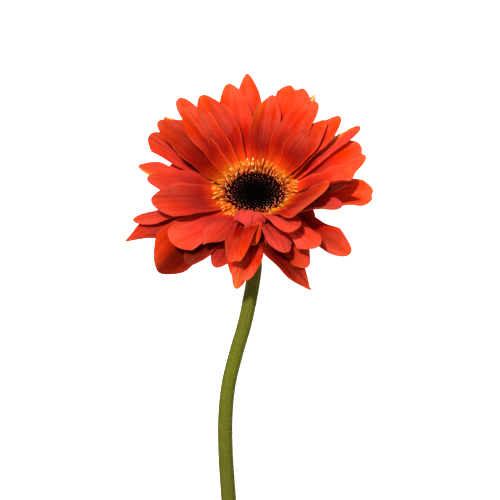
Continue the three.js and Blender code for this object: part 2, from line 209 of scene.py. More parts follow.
def mottled_tissue_group():
    group = bpy.data.node_groups.new("mottled_tissue", "ShaderNodeTree")
    for name, kind, value in (
        ("Color", "NodeSocketColor", (0.5, 0.5, 0.5, 1)),
        ("Strength", "NodeSocketFloat", 0.3),
        ("Scale", "NodeSocketFloat", 400.0),
    ):
        group.interface.new_socket(name, in_out="INPUT", socket_type=kind).default_value = value
    group.interface.new_socket("Color", in_out="OUTPUT", socket_type="NodeSocketColor")
    group.interface.new_socket("Height", in_out="OUTPUT", socket_type="NodeSocketFloat")
    inside = add_node(group, "NodeGroupInput")
    place = add_node(group, "ShaderNodeTexCoord")
    broad = add_node(group, "ShaderNodeTexNoise", {
        "Vector": place.outputs["Object"], "Scale": inside.outputs["Scale"], "Detail": 3.0,
    })
    fine_scale = math_node(group, "MULTIPLY", inside.outputs["Scale"], FINE_PER_BROAD)
    fine = add_node(group, "ShaderNodeTexNoise", {
        "Vector": place.outputs["Object"], "Scale": fine_scale, "Detail": 2.0,
    })
    both = math_node(group, "ADD", broad.outputs["Fac"], fine.outputs["Fac"])
    centred = math_node(group, "SUBTRACT", both, 1.0)
    change = math_node(group, "MULTIPLY_ADD", centred, inside.outputs["Strength"], 1.0)
    mottled = scaled(group, inside.outputs["Color"], change)
    add_node(group, "NodeGroupOutput", {"Color": mottled, "Height": fine.outputs["Fac"]})
    return group


mottled_tissue = mottled_tissue_group()
print("group sockets:", [item.name for item in mottled_tissue.interface.items_tree])

# %% Material helpers
ROUGHNESS_SPREAD = 0.16
PATTERN_HEIGHT = 4.0
BUMP_DISTANCE = 0.2 * MM


def attribute(tree, name):
    return add_node(tree, "ShaderNodeAttribute", attribute_name=name).outputs["Fac"]


def ramp(tree, factor, stops):
    """A colour ramp from (place, colour) stops."""
    made = add_node(tree, "ShaderNodeValToRGB", {"Fac": factor})
    elements = made.color_ramp.elements
    while len(elements) < len(stops):
        elements.new(0.5)
    for element, (place, color) in zip(elements, stops):
        element.position = place
        element.color = (*color, 1)
    return made.outputs["Color"]


def grey(value):
    return (value,) * 3


def mask(tree, factor, low, high, most=1.0):
    """Nothing up to low, rising to most at high."""
    return ramp(tree, factor, [(low, grey(0.0)), (high, grey(most))])


def mix(tree, factor, a, b):
    made = add_node(tree, "ShaderNodeMix", data_type="RGBA")
    for index, value in ((0, factor), (6, a), (7, b)):
        if isinstance(value, bpy.types.NodeSocket):
            tree.links.new(value, made.inputs[index])
        else:
            made.inputs[index].default_value = value if index == 0 else (*value, 1)
    return made.outputs[2]


def finish_material(name, paint, mottle=0.25, mottle_scale=300.0, bump=0.1, **sockets):
    """A Principled material whose colour comes from paint(tree), mottled and finely bumped."""
    material = bpy.data.materials.new(name)
    material.use_nodes = True
    tree = material.node_tree
    shader = tree.nodes["Principled BSDF"]
    color, height = paint(tree)
    mottled, surface = add_node(tree, "ShaderNodeGroup", {
        "Color": color, "Strength": mottle, "Scale": mottle_scale,
    }, node_tree=mottled_tissue).outputs
    tree.links.new(mottled, shader.inputs["Base Color"])
    smoothest = sockets.pop("Roughness") - ROUGHNESS_SPREAD / 2
    rough = math_node(tree, "MULTIPLY_ADD", surface, ROUGHNESS_SPREAD, smoothest)
    tree.links.new(rough, shader.inputs["Roughness"])
    if height is not None:
        surface = math_node(tree, "MULTIPLY_ADD", height, PATTERN_HEIGHT, surface)
    lift = add_node(tree, "ShaderNodeBump", {"Strength": bump, "Distance": BUMP_DISTANCE, "Height": surface})
    tree.links.new(lift.outputs["Normal"], shader.inputs["Normal"])
    for key, value in sockets.items():
        shader.inputs[key.replace("_", " ")].default_value = value
    return material


print("material helpers ready")

# %% [markdown]
# ## Petal finish
# A gerbera petal is flame red and turns orange where it meets the ring of small florets. It is darkest a
# third of the way along, partly from its own colour and partly from painted shade in the hollow of the cup.
# Fine veins run along it. Painted shade darkens the petals that lie under others, painted sheen tints the
# slanting petals and some random clouds pale pink, a painted highlight lightens rims and tips, and a few
# tips have dried to gold, with a cream that is partly a painted glint. The underside is paler. The petal
# mesh carries how far along, how far across and on which face each point is, and how much painted sheen,
# painted shade and gold it takes, so the colours follow the petal and not the room. Petal tissue also lets
# some light through and has a soft sheen.

# %% Petal colours
# Darkest a third of the way along: partly the petal's own colour, partly painted shade.
PETAL_ALONG = [
    (0.0, (1.0, 0.32, 0.005)), (0.09, (1.0, 0.255, 0.003)), (0.18, (1.0, 0.080, 0.001)),
    (0.34, (0.76, 0.017, 0.001)), (0.62, (0.86, 0.034, 0.001)), (1.0, (0.95, 0.085, 0.003)),
]
# Throat colour: partly the petal's own dark red, partly painted shade in the hollow of the cup.
PETAL_THROAT_AND_SHADE = (0.36, 0.004, 0.001)
PETAL_UNDER = (0.85, 0.085, 0.015)
PETAL_GOLD = (0.66, 0.30, 0.045)
# Cream: partly the petal's own pale colour, partly a painted glint on curled rims.
PETAL_CREAM_AND_GLINT = (0.96, 0.84, 0.34)
# Painted highlight for rims and tips.
PETAL_RIM_HIGHLIGHT = (0.95, 0.20, 0.06)
# Painted sheen: the pale pink of petals that bend over and are seen at a slant.
PETAL_PINK_SHEEN = (0.70, 0.066, 0.054)
# Painted shade: near black, for petals that lie under others.
PETAL_PAINTED_SHADE = (0.08, 0.002, 0.001)
# Painted sheen in random pale pink clouds.
PETAL_SHEEN_CLOUDS = (0.90, 0.15, 0.090)
RIM_HIGHLIGHT_SHARE = 0.34
UNDER_SHARE = 0.62
VEIN_DEPTH = 0.42
VEIN_STRETCH = (11, 1.3, 1)
CLOUD_STRETCH = (2.2, 3.0, 1)
PATTERN_SHIFT = 40.0
# Where the painted sheen clouds fall: their noise band and their place along the petal.
SHEEN_CLOUDS_MASK = (0.40, 0.68, 0.6)
SHEEN_CLOUDS_ALONG = (0.30, 0.70)
SHADE_SPREAD = 0.22


def petal_pattern(tree, stretch, tint, values):
    """Noise over the petal's own map, shifted so that no two petals have the same."""
    place = add_node(tree, "ShaderNodeUVMap", uv_map="UVMap").outputs["UV"]
    stretched = add_node(tree, "ShaderNodeMapping", {"Vector": place, "Scale": stretch})
    return add_node(tree, "ShaderNodeTexNoise", {
        "Vector": stretched.outputs["Vector"], "W": math_node(tree, "MULTIPLY", tint, PATTERN_SHIFT),
        "Scale": 1.0, **values,
    }, noise_dimensions="4D").outputs["Fac"]


def petal_paint(tree):
    along, tint, gold = (attribute(tree, name) for name in ("along", "tint", "gold"))
    # The throat mix is partly the petal's own colour, partly painted shade.
    face = mix(tree, attribute(tree, "throat"), ramp(tree, along, PETAL_ALONG), PETAL_THROAT_AND_SHADE)
    # Painted highlight on rims and tips.
    edge = math_node(tree, "MULTIPLY", attribute(tree, "edge"), RIM_HIGHLIGHT_SHARE)
    upper_face_with_rim_highlight = mix(tree, edge, face, PETAL_RIM_HIGHLIGHT)
    color = mix(tree, attribute(tree, "under"), upper_face_with_rim_highlight, mix(tree, UNDER_SHARE, face, PETAL_UNDER))
    # Painted sheen: random pale pink clouds on the outer half.
    clouds = petal_pattern(tree, CLOUD_STRETCH, tint, {"Detail": 2.0})
    sheen_clouds = math_node(tree, "MULTIPLY", mask(tree, clouds, *SHEEN_CLOUDS_MASK), mask(tree, along, *SHEEN_CLOUDS_ALONG))
    # Gold, turning to a cream that is partly a painted glint on curled rims.
    gold_cream_and_glint = ramp(tree, gold, [(0.55, PETAL_GOLD), (0.92, PETAL_CREAM_AND_GLINT)])
    # Laid over the face: painted sheen in clouds, painted pink sheen on slanting petals, painted shade, then
    # gold.
    for share, other in (
        (sheen_clouds, PETAL_SHEEN_CLOUDS), (attribute(tree, "pink"), PETAL_PINK_SHEEN), (attribute(tree, "deep"), PETAL_PAINTED_SHADE),
        (gold, gold_cream_and_glint),
    ):
        color = mix(tree, share, color, other)
    veins = petal_pattern(tree, VEIN_STRETCH, tint, {"Detail": 3.0, "Roughness": 0.6})
    between = ramp(tree, veins, [(0.30, grey(0.0)), (0.5, grey(0.55)), (0.72, grey(1.0))])
    depth = math_node(tree, "MULTIPLY", math_node(tree, "SUBTRACT", 1.0, between), VEIN_DEPTH)
    veined = mix(tree, depth, color, grey(0.0))
    shade = math_node(tree, "MULTIPLY_ADD", tint, SHADE_SPREAD, 1 - SHADE_SPREAD / 2)
    return scaled(tree, veined, shade), veins


petal_material = finish_material(
    "petal_flesh", petal_paint, mottle=0.32, mottle_scale=650.0, bump=0.35, Roughness=0.5,
    Subsurface_Weight=0.45, Subsurface_Radius=(1.0, 0.22, 0.08), Subsurface_Scale=0.002,
    Specular_IOR_Level=0.045, Sheen_Weight=0.05, Sheen_Roughness=0.5, Sheen_Tint=(1.0, 0.45, 0.35, 1),
)
print(petal_material.name, "with", len(petal_material.node_tree.nodes), "nodes")

# %% [markdown]
# ## The petals
# Each petal is one thin blade. Its middle line leaves the head at a clock angle, rises by a few slopes
# that change along it, and may sway sideways. Across, the blade is cupped like a gutter or arched like a
# tile, each side by its own angle, and a pleat can fold it lengthways. Modelling it by hand would give
# one good petal, but this head has more than forty, no two alike. So one function bends a grid by a few
# plain numbers, and a list gives those numbers for every petal, read from the photograph.
#
# Lengths are in mm, angles in degrees and the rest are shares. `rise` holds the slopes from root to tip,
# `left` and `right` the bend of each side, `claw`, `broad` and `tip` the outline, `level` how far above
# the table the blade comes to rest, and `gold` and the amounts of painted sheen and painted shade go to
# the finish.

# %% Petals of the four layers, from the back of the head to the front
LAYER_RADIUS = (13.6, 13.2, 12.8, 12.4)
LAYER_LEVEL = (-4.6, -3.7, -2.8, -1.9)

BACK = [
    dict(
        at=93.8, rise=(22, 38, 36, 28), long=45, wide=12, tip=0.6, left=14, right=20, broad=0.8,
        round=0.35,
    ),
    dict(
        at=103, rise=(24, 42, 36, 24), long=41.3, wide=14, tip=0.7, sway=3, left=12, right=36,
        deep=0.15,
    ),
    dict(
        at=66.6, rise=(24, 42, 38, 28), long=41.8, wide=15.5, tip=1.05, sway=2, left=10, right=14,
        round=0.12, notch=0.05,
    ),
    dict(at=128, rise=(16, 30, 24, 17), long=44.3, wide=10.5, tip=1, left=16, right=20, broad=0.7),
    dict(
        at=152.8, rise=(14, 27, 24, 20), long=40, wide=12, tip=1.1, sway=3, left=-14, right=-14,
        round=0.12, pink=0.35,
    ),
    dict(at=62, rise=(8, 21, 18, 15), long=46, wide=9.5, tip=0.14, level=1.6, gold=1),
    dict(
        at=29, rise=(20, 35, 30, 26), long=42, wide=8, tip=0.95, sway=-8, broad=0.8, round=0.22,
        level=2.2, gold=1, gold_at=(0.72, 0.9), pink=0.6,
    ),
    dict(
        at=-6.5, rise=(2, 16, 13, 8), long=37.6, wide=15.5, tip=1.1, left=14, right=18, claw=0.8,
        round=0.13, notch=0.02,
    ),
    dict(
        at=-76, rise=(-8, 0, -6, -11), long=42, wide=15, tip=0.3, sway=28, left=20, right=20,
        broad=0.25, deep=0.85, pleat=(0.35, -1.5),
    ),
    dict(
        at=-95.5, rise=(-4, 0, -8, -15), long=31.5, wide=17, tip=1.05, sway=-6, left=30, right=34,
        broad=0.75, round=0.3, deep=0.3,
    ),
    dict(
        at=-99, rise=(-5, -1, -9, 14), long=37.5, wide=6, tip=0.8, left=-20, right=-20, level=0.6,
        gold=0.65, gold_at=(0.95, 0), pink=0.3,
    ),
    dict(
        at=-114, rise=(-8, -3, -8, -13), long=27, wide=11, tip=0.8, left=20, right=20, pink=0.7,
        deep=0.6, painted_shade_tip=0.6,
    ),
    dict(at=-129.5, rise=(-8, -3, -8, -13), long=31.5, wide=12.5, tip=0.8, deep=0.86, painted_shade_tip=0.85),
    dict(
        at=-138, rise=(-8, -2, -8, -15), long=41.5, wide=20, tip=0.7, left=-10, right=44,
        level=0.6, deep=0.95, painted_shade_from=-0.35, painted_shade_tip=0.95, pleat=(-0.4, -2),
    ),
    dict(
        at=-154.8, rise=(-6, 4, 1, -2), long=46.4, wide=15.5, tip=0.3, left=24, right=10, pink=0.4,
        deep=0.5,
    ),
    dict(at=80, rise=(-4, 8, 6, 4), long=36, wide=14, tip=0.8),
    dict(at=107, rise=(-4, 8, 6, 4), long=36, wide=14, tip=0.8),
    dict(at=138, rise=(-2, 10, 7, 4), long=36, wide=14, tip=0.8),
    dict(at=46, rise=(-2, 9, 7, 5), long=36, wide=13, tip=0.8),
    dict(at=-29, rise=(-2, 8, 6, 4), long=15, wide=10, tip=0.8, deep=0.8),
    dict(at=160, rise=(4, 16, 14, 11), long=26, wide=13, tip=0.8),
]
SECOND = [
    dict(
        at=119.5, rise=(26, 42, 34, 22), long=39.3, wide=16, tip=0.7, sway=2, left=14, right=20,
        round=0.25, deep=0.2,
    ),
    dict(
        at=82, rise=(26, 45, 40, 30), long=35, wide=13, tip=0.6, sway=-9, left=46, right=12,
        gold=0.9, gold_at=(0.97, 1.15), deep=0.3,
    ),
    dict(at=36, rise=(26, 41, 35, 25), long=38.5, wide=12, tip=0.8, left=-10, right=22, deep=0.1),
    dict(
        at=18, rise=(12, 26, 22, 16), long=38.5, wide=17.5, tip=0.8, left=-22, right=-38,
        notch=0.05, deep=0.1, pleat=(0.35, 2.4),
    ),
    dict(
        at=-40.5, rise=(-2, 5, 0, -5), long=38.5, wide=13, tip=0.95, left=20, right=-34,
        round=0.28, deep=0.55,
    ),
    dict(
        at=-36, rise=(24, 38, 36, 32), long=37, wide=11.5, tip=0.8, left=20, right=20, gold=1,
        gold_at=(0.5, -0.55), pink=0.9,
    ),
    dict(
        at=-62.3, rise=(-4, 4, -1, -6), long=32.5, wide=11, tip=0.8, left=-24, right=-24,
        level=0.6, pink=0.2, deep=0.45,
    ),
    dict(at=-161, rise=(-2, 8, 6, 4), long=41, wide=9.5, tip=0.8, left=-20, right=-16, pink=0.35),
    dict(
        at=171, rise=(6, 17, 14, 10), long=38.5, wide=9, tip=0.6, sway=-5, left=-10, right=50,
        broad=0.8, gold=0.95, gold_at=(1, 0.85), pink=0.4,
    ),
    dict(
        at=180, rise=(14, 26, 18, 8), long=34.3, wide=13, tip=0.8, left=-26, right=-20, pink=0.4,
        deep=0.2,
    ),
    dict(
        at=139, rise=(12, 24, 20, 15), long=41.2, wide=11, tip=0.6, left=20, right=24, gold=0.9,
        gold_at=(0.93, -0.45),
    ),
]
THIRD = [
    dict(
        at=58, rise=(28, 46, 34, 18), long=38, wide=14, tip=0.7, sway=-16, left=16, right=10,
        deep=0.25,
    ),
    dict(
        at=-5, rise=(20, 34, 26, 16), long=32.5, wide=15, tip=1, sway=16, left=-30, right=20,
        broad=0.65, round=0.16, pink=0.2,
    ),
    dict(
        at=-19, rise=(24, 40, 38, 36), long=37, wide=8.5, tip=0.35, left=20, right=30, deep=0.97,
        painted_shade_tip=1,
    ),
    dict(at=-56, rise=(16, 24, 14, 3), long=35, wide=12, tip=0.8, left=-20, right=-30, pink=0.5),
    dict(
        at=-74.5, rise=(24, 26, 8, -12), long=30, wide=11, tip=0.8, sway=8, left=-38, right=-30,
        pink=0.7,
    ),
    dict(
        at=-101.3, rise=(16, 18, 2, -15), long=31.5, wide=13.2, tip=0.95, left=64, right=64,
        round=0.3, notch=0.04, deep=0.45, painted_shade_tip=0.5, pleat=(0, 1.2),
    ),
    dict(
        at=-160, rise=(14, 26, 17, 4), long=34.5, wide=18.5, tip=0.7, sway=-6, left=-44, right=0,
        claw=0.7, pink=0.35, deep=0.3,
    ),
    dict(
        at=132, rise=(26, 40, 33, 24), long=37.5, wide=15, tip=0.9, sway=3, left=26, right=14,
        deep=0.15,
    ),
]
FRONT = [
    dict(
        at=39.5, rise=(28, 44, 34, 22), long=33, wide=13, tip=0.6, left=20, right=20, claw=0.5,
        deep=0.3,
    ),
    dict(
        at=-41, rise=(36, 50, 46, 41), long=32, wide=20.5, tip=1.1, cup=10, left=10, right=0,
        round=0.1, deep=0.45,
    ),
    dict(
        at=-66, rise=(30, 36, 28, 18), long=30, wide=12, tip=0.7, sway=4, left=-30, right=-30,
        pink=0.55,
    ),
    dict(at=-91.5, rise=(50, 26, -14, -52), long=22, wide=7, tip=0.9, left=-20, right=-20, gold=0.3),
    dict(
        at=-97, rise=(72, 56, 5, -50), long=16.5, wide=16, tip=0.6, cup=-30, left=-78, right=-78,
        pink=1,
    ),
    dict(
        at=-122, rise=(12, 14, 4, -6), long=27, wide=12, tip=0.15, sway=-4, left=-30, right=-30,
        pink=0.4, deep=0.35, painted_shade_from=0.35, painted_shade_tip=0.9,
    ),
    dict(
        at=-131.5, rise=(4, 10, 0, -10), long=33.5, wide=17.5, tip=1, sway=-32, left=-28, right=0,
        claw=0.42, broad=0.6, round=0.2, pink=0.45,
    ),
    dict(
        at=147.5, rise=(18, 32, 28, 18), long=40.5, wide=18.5, tip=0.5, sway=3, left=26, right=22,
        deep=0.55, painted_shade_tip=0.55,
    ),
]
HABIT = dict(
    sway=0.0, cup=40.0, left=22.0, right=22.0, claw=0.62, broad=0.55, tip=0.55, round=0.22, notch=0.0,
    level=0.0, pleat=(0.0, 0.0), gold=0.0, gold_at=(1.0, 0.0), pink=0.0,
    deep=0.0, painted_shade_from=-2.0, painted_shade_tip=0.4,
)
petal_list = [
    {**HABIT, **one, "root": (LAYER_RADIUS[k], LAYER_LEVEL[k])}
    for k, layer in enumerate((BACK, SECOND, THIRD, FRONT)) for one in layer
]
print(len(petal_list), "petals, the longest", max(one["long"] for one in petal_list), "mm")

# %% Width, slope and middle line of a blade
SWELL_POWER = 1.2
SETTLE_BLEND = 2.0
LINE_STEPS = 60


def half_width(blade, s):
    swell = np.sin(np.clip(s / blade["broad"], 0, 1) * np.pi / 2) ** SWELL_POWER
    past = np.clip((s - blade["broad"]) / (1 - blade["broad"]), 0, 1)
    narrowing = 1 - (1 - blade["tip"]) * past ** 2
    return blade["wide"] / 2 * (blade["claw"] + (1 - blade["claw"]) * swell) * narrowing


def settled(z, floor):
    """Free above the surface, flat on it, with a smooth bend between."""
    above = z - floor
    bent = floor + (above + SETTLE_BLEND) ** 2 / (4 * SETTLE_BLEND)
    return np.where(above > SETTLE_BLEND, z, np.where(above < -SETTLE_BLEND, floor, bent))


def directions(blade, s):
    """Ahead, side and up of the middle line at s, each with one row for every s."""
    steps = np.linspace(0, 1, len(blade["rise"]))
    rise = np.radians(np.interp(s, steps, blade["rise"]))
    turn = np.radians(blade["at"] + blade["sway"] * s)
    ahead = np.stack([np.cos(rise) * np.cos(turn), np.cos(rise) * np.sin(turn), np.sin(rise)], -1)
    side = np.stack([-np.sin(turn), np.cos(turn), np.zeros_like(turn)], -1)
    return ahead, side, np.cross(ahead, side)


def middle_line(blade):
    steps = (np.arange(LINE_STEPS) + 0.5) / LINE_STEPS
    ahead = directions(blade, steps)[0]
    at = math.radians(blade["at"])
    radius, level = blade["root"]
    start = np.array([radius * math.cos(at), radius * math.sin(at), level])
    return np.vstack([start, start + np.cumsum(ahead, 0) * blade["long"] / LINE_STEPS])


print("the first petal's middle line ends at", middle_line(petal_list[0])[-1].round(1))

# %% The blade bent across, as one sheet
PETAL_HALF_THICKNESS = 0.17
CUPPED_UNTIL = 0.12
OPENED_WITHIN = 0.8
ROUNDING_POWER = 2.4
NOTCH_WIDTH = 0.22
ALMOST_FLAT = 1e-4


def blade_sheet(blade, long, wide, wave=None, ragged=None):
    """The blade's middle surface in table directions, with s along and v across at each point.

    wave(s, v) lifts the surface in mm, and ragged(s, v) changes its half width by a share.
    """
    v = np.linspace(-1, 1, wide + 1)[None, :]
    notch = blade["notch"] * np.exp(-((v / NOTCH_WIDTH) ** 2))
    reach = 1 - blade["round"] * np.abs(v) ** ROUNDING_POWER - notch
    s = np.linspace(0, 1, long + 1)[:, None] * reach
    line = middle_line(blade)
    steps = np.linspace(0, 1, LINE_STEPS + 1)
    middle = np.stack([np.interp(s, steps, line[:, k]) for k in range(3)], -1)
    _, side, up = directions(blade, s)
    opened = np.clip((s - CUPPED_UNTIL) / OPENED_WITHIN, 0, 1)
    edge = np.where(v < 0, blade["right"], blade["left"])
    bend = np.radians(blade["cup"] + (edge - blade["cup"]) * opened) + ALMOST_FLAT
    radius = half_width(blade, s) / bend
    if ragged:
        radius = radius * (1 + ragged(s, v))
    out = np.sign(v) * np.sin(bend * np.abs(v)) * radius
    lift = (1 - np.cos(bend * np.abs(v))) * radius
    if wave:
        lift = lift + wave(s, v)
    sheet = on_table(middle + side * out[..., None] + up * lift[..., None])
    sheet[..., 2] = settled(sheet[..., 2], blade["level"] + PETAL_HALF_THICKNESS)
    return sheet, s, v + 0 * s


print("a plain sheet has", blade_sheet(petal_list[0], 10, 6)[0].shape[:2], "points")

# %% From bent sheet to closed blade


def sheet_normals(sheet):
    along = np.gradient(sheet, axis=0)
    across = np.gradient(sheet, axis=1)
    normal = np.cross(along, across)
    return normal / np.maximum(np.linalg.norm(normal, axis=-1, keepdims=True), 1e-9)


def closed_blade(top, bottom):
    """Points and quads of a closed blade from its two faces."""
    rows, columns = top.shape[:2]
    index = np.arange(rows * columns).reshape(rows, columns)
    under = index + rows * columns
    a, b, c, d = index[:-1, :-1], index[1:, :-1], index[1:, 1:], index[:-1, 1:]
    e, f, g, h = under[:-1, :-1], under[1:, :-1], under[1:, 1:], under[:-1, 1:]
    quads = [np.stack([a, b, c, d], -1).reshape(-1, 4), np.stack([e, h, g, f], -1).reshape(-1, 4)]
    rim = np.concatenate([index[:, 0], index[-1, 1:], index[-2::-1, -1], index[0, -2:0:-1]])
    after = np.roll(rim, -1)
    quads.append(np.stack([rim, rim + rows * columns, after + rows * columns, after], -1))
    points = np.vstack([top.reshape(-1, 3), bottom.reshape(-1, 3)])
    return points, np.vstack(quads)


def both_faces(upper, under):
    """One value for each point of a closed blade."""
    return np.concatenate([upper.ravel(), under.ravel()])


def rising(s, slope, start=0.0):
    """From 0 to 1 along the blade: a larger slope is faster, and a larger start is later."""
    return np.clip(s * slope - start, 0, 1)


print("closed blade functions ready")

# %% How much of each colour every point of a petal takes
# The throat's place and strength: partly the petal's own darker colour, partly painted shade in the cup.
THROAT_AT = 0.40
THROAT_LENGTH = 0.16
THROAT_SHARE = 0.8
THROAT_NARROWING = 0.75
GOLD_LENGTH = 0.28
GOLD_WIDTH = 0.5
# Painted highlight on the outermost rims and tips.
RIM_HIGHLIGHT_RISE = (9, 8)
# The painted pink sheen grows along the petal.
PINK_SHEEN_RISE = (3, 0.3)
# Painted shade: where it fades towards the tip, how much lighter it is at the rims, and how sharply it stops
# at one side.
PAINTED_SHADE_UNTIL = 0.72
PAINTED_SHADE_EDGE_LIFT = 0.35
PAINTED_SHADE_SLOPE = 3
LEAST_PAINTED_SHADE = 0.3


def petal_values(blade, s, v, tint):
    """How much of each colour of the finish every point of a petal takes."""
    # Throat darkening, partly own colour and partly painted shade in the hollow, weaker towards the rims.
    narrowed = THROAT_SHARE * (1 - THROAT_NARROWING * v ** 2)
    throat = narrowed * np.exp(-(((s - THROAT_AT) / THROAT_LENGTH) ** 2))
    # Gold; its cream end is partly a painted glint.
    gold_s, gold_v = blade["gold_at"]
    dry = np.exp(-(((s - gold_s) / GOLD_LENGTH) ** 2) - ((v - gold_v) / GOLD_WIDTH) ** 2) * blade["gold"]
    # Painted shade, fading towards the tip, lighter at the rims, and stopping short of one side where asked.
    kept = 1 - (1 - blade["painted_shade_tip"]) * np.clip((s - PAINTED_SHADE_UNTIL) / (1 - PAINTED_SHADE_UNTIL), 0, 1)
    shaded = np.clip((v - blade["painted_shade_from"]) * PAINTED_SHADE_SLOPE + 0.5, LEAST_PAINTED_SHADE, 1)
    # The edge value is a painted highlight on rims and tips.
    alike = {
        "along": s, "u": (v + 1) / 2, "tint": np.full(s.shape, tint), "throat": throat,
        "edge": rising(np.maximum(np.abs(v), s), *RIM_HIGHLIGHT_RISE), "pink": blade["pink"] * rising(s, *PINK_SHEEN_RISE),
        "deep": blade["deep"] * kept * (1 - PAINTED_SHADE_EDGE_LIFT * np.abs(v) ** 3) * shaded,
    }
    values = {name: both_faces(value, value) for name, value in alike.items()}
    values["under"] = both_faces(0 * s, 0 * s + 1)
    # A tip that is only half dried shows it most on its underside.
    values["gold"] = both_faces(dry * blade["gold"], dry)
    return values


print("petal values ready")

# %% [markdown]
# ## What makes a petal look alive
# A bare blade looks like plastic. A real petal has lengthways grooves, a few soft folds, slow waves and
# a slightly ragged edge, and the older petals below the disc are the most crumpled. All of these are
# sums of sines and smooth steps. Each petal draws its own places for them from a fixed seed.

# %% One petal with its grooves, folds and waves
PETAL_LONG = 34
PETAL_WIDE = 18
GROOVES = 3.5
GROOVE_DEPTH = 0.24
GROOVE_RISE = 1.15
WAVE_HEIGHT = 0.95
WAVE_SHARES = (0.5, 1.0)
WAVE_RISE = 2.5
SLOW_WAVES = (7, 5)
QUICK_WAVE = 17
QUICK_SHARE = 0.35
RAGGED = 0.075
RAGGED_RISE = 2
EDGE_WAVES = (8, 19)
QUICK_EDGE_SHARE = 0.5
FOLDS = 3
FOLDS_WITHIN = 0.7
FOLD_HEIGHT = 0.5
FOLD_WIDTH = 0.16
FOLD_RISE = 1.1
PLEAT_RISE = (4, 0.6)
CRUMPLED_BELOW = 0.8
RIM_THINNING = 0.55
TIP_THINNING = 0.4
TIP_RISE = (4, 3)


def grown_petal(blade, seed):
    """One petal with its grooves, folds and waves, and what its finish needs at each point."""
    draw = np.random.default_rng(seed)
    phase = draw.uniform(0, 2 * np.pi, 8)
    crumpled = 1 + CRUMPLED_BELOW * max(0, -math.sin(math.radians(blade["at"])))
    wave_height = draw.uniform(*WAVE_SHARES) * WAVE_HEIGHT * crumpled
    fold_places = draw.uniform(-FOLDS_WITHIN, FOLDS_WITHIN, FOLDS)
    fold_heights = draw.uniform(-1, 1, FOLDS) * FOLD_HEIGHT * crumpled

    def wave(s, v):
        slow = np.sin(s * SLOW_WAVES[0] + phase[0]) * v + np.sin(s * SLOW_WAVES[1] + phase[1]) * v ** 2
        quick = QUICK_SHARE * np.sin(s * QUICK_WAVE + phase[2]) * np.abs(v) ** 3
        raised = wave_height * rising(s, WAVE_RISE) * (slow + quick)
        swell = np.sin(rising(s, FOLD_RISE) * np.pi)
        for place, height in zip(fold_places, fold_heights):
            raised = raised + height * swell * np.tanh((v - place) / FOLD_WIDTH)
        place, height = blade["pleat"]
        return raised + height * rising(s, *PLEAT_RISE) * np.tanh((v - place) / FOLD_WIDTH)

    def ragged(s, v):
        slow, quick = EDGE_WAVES
        right = np.sin(s * slow + phase[4]) + QUICK_EDGE_SHARE * np.sin(s * quick + phase[5])
        left = np.sin(s * slow + phase[6]) + QUICK_EDGE_SHARE * np.sin(s * quick + phase[7])
        return RAGGED * np.where(v < 0, right, left) * v ** 2 * rising(s, RAGGED_RISE)

    sheet, s, v = blade_sheet(blade, PETAL_LONG, PETAL_WIDE, wave, ragged)
    fading = np.sin(rising(s, GROOVE_RISE) * np.pi) ** 0.5
    groove = GROOVE_DEPTH * np.cos(v * GROOVES * np.pi) * fading
    sheet = sheet + sheet_normals(sheet) * groove[..., None]
    thinned = (1 - RIM_THINNING * np.abs(v) ** 6) * (1 - TIP_THINNING * rising(s, *TIP_RISE))
    half = sheet_normals(sheet) * (PETAL_HALF_THICKNESS * thinned)[..., None]
    points, quads = closed_blade(sheet + half, sheet - half)
    return points, quads, petal_values(blade, s, v, draw.uniform(0, 1))


sample = grown_petal(petal_list[0], 1)
print("one petal:", len(sample[0]), "points and", len(sample[1]), "faces")

# %% Build the bloom's petals as one piece
SHARP_FROM = math.radians(50)
PETAL_SEED = 40


def store_value(mesh, name, values):
    mesh.attributes.new(name, "FLOAT", "POINT").data.foreach_set("value", np.asarray(values, np.float32))


def mesh_object(name, points_mm, faces, material=None):
    """A smooth mesh object at the origin, from points in mm. With a material, its edges stay sharp."""
    mesh = bpy.data.meshes.new(name)
    mesh.from_pydata((np.asarray(points_mm) * MM).tolist(), [], faces)
    mesh.shade_smooth()
    if material:
        mesh.materials.append(material)
        mesh.set_sharp_from_angle(angle=SHARP_FROM)
    made = bpy.data.objects.new(name, mesh)
    bpy.context.scene.collection.objects.link(made)
    return made


def blades_object(name, points_mm, faces, values, material):
    """A mesh object of blades, with their values stored at the points and u and along as its UV map."""
    made = mesh_object(name, points_mm, faces.tolist(), material)
    mesh = made.data
    for key, value in values.items():
        if key != "u":
            store_value(mesh, key, value)
    if "u" in values:
        corner = np.zeros(len(mesh.loops), np.int32)
        mesh.loops.foreach_get("vertex_index", corner)
        uv = np.stack([values["u"][corner], values["along"][corner]], -1)
        mesh.uv_layers.new(name="UVMap").data.foreach_set("uv", uv.astype(np.float32).ravel())
    return made


def gathered(parts):
    """Many (points, faces, values) as one."""
    start = np.cumsum([0] + [len(points) for points, _, _ in parts])[:-1]
    points = np.vstack([points for points, _, _ in parts])
    faces = np.vstack([faces + first for first, (_, faces, _) in zip(start, parts)])
    values = {key: np.concatenate([one[key] for _, _, one in parts]) for key in parts[0][2]}
    return points, faces, values


grown = [grown_petal(blade, PETAL_SEED + k) for k, blade in enumerate(petal_list)]
petals = blades_object("petals", *gathered(grown), petal_material)
print("petals:", len(petals.data.vertices), "points")

# %% [markdown]
# ## Disc and tube florets
# The disc is packed in the spiral that sunflower seeds follow: each floret stands 137.5 degrees round
# from the last. Young buds in the middle are closed and nearly black, and further out some carry a small
# pale tip. Round them stand thin anthers with orange heads, and outermost are open tubes, each with a
# short yellow-orange strap that leans over the petals. A spiral of copies is what Geometry Nodes are
# for: one tree places any of the florets, and is used with other sizes for each zone.

# %% Florets turned on a lathe, each standing on the origin along Z


def walls(first_ring, second_ring, sides, offset=0):
    """The quads between two rings of a turned shape."""
    a, b = offset + first_ring * sides, offset + second_ring * sides
    return [[a + j, a + (j + 1) % sides, b + (j + 1) % sides, b + j] for j in range(sides)]


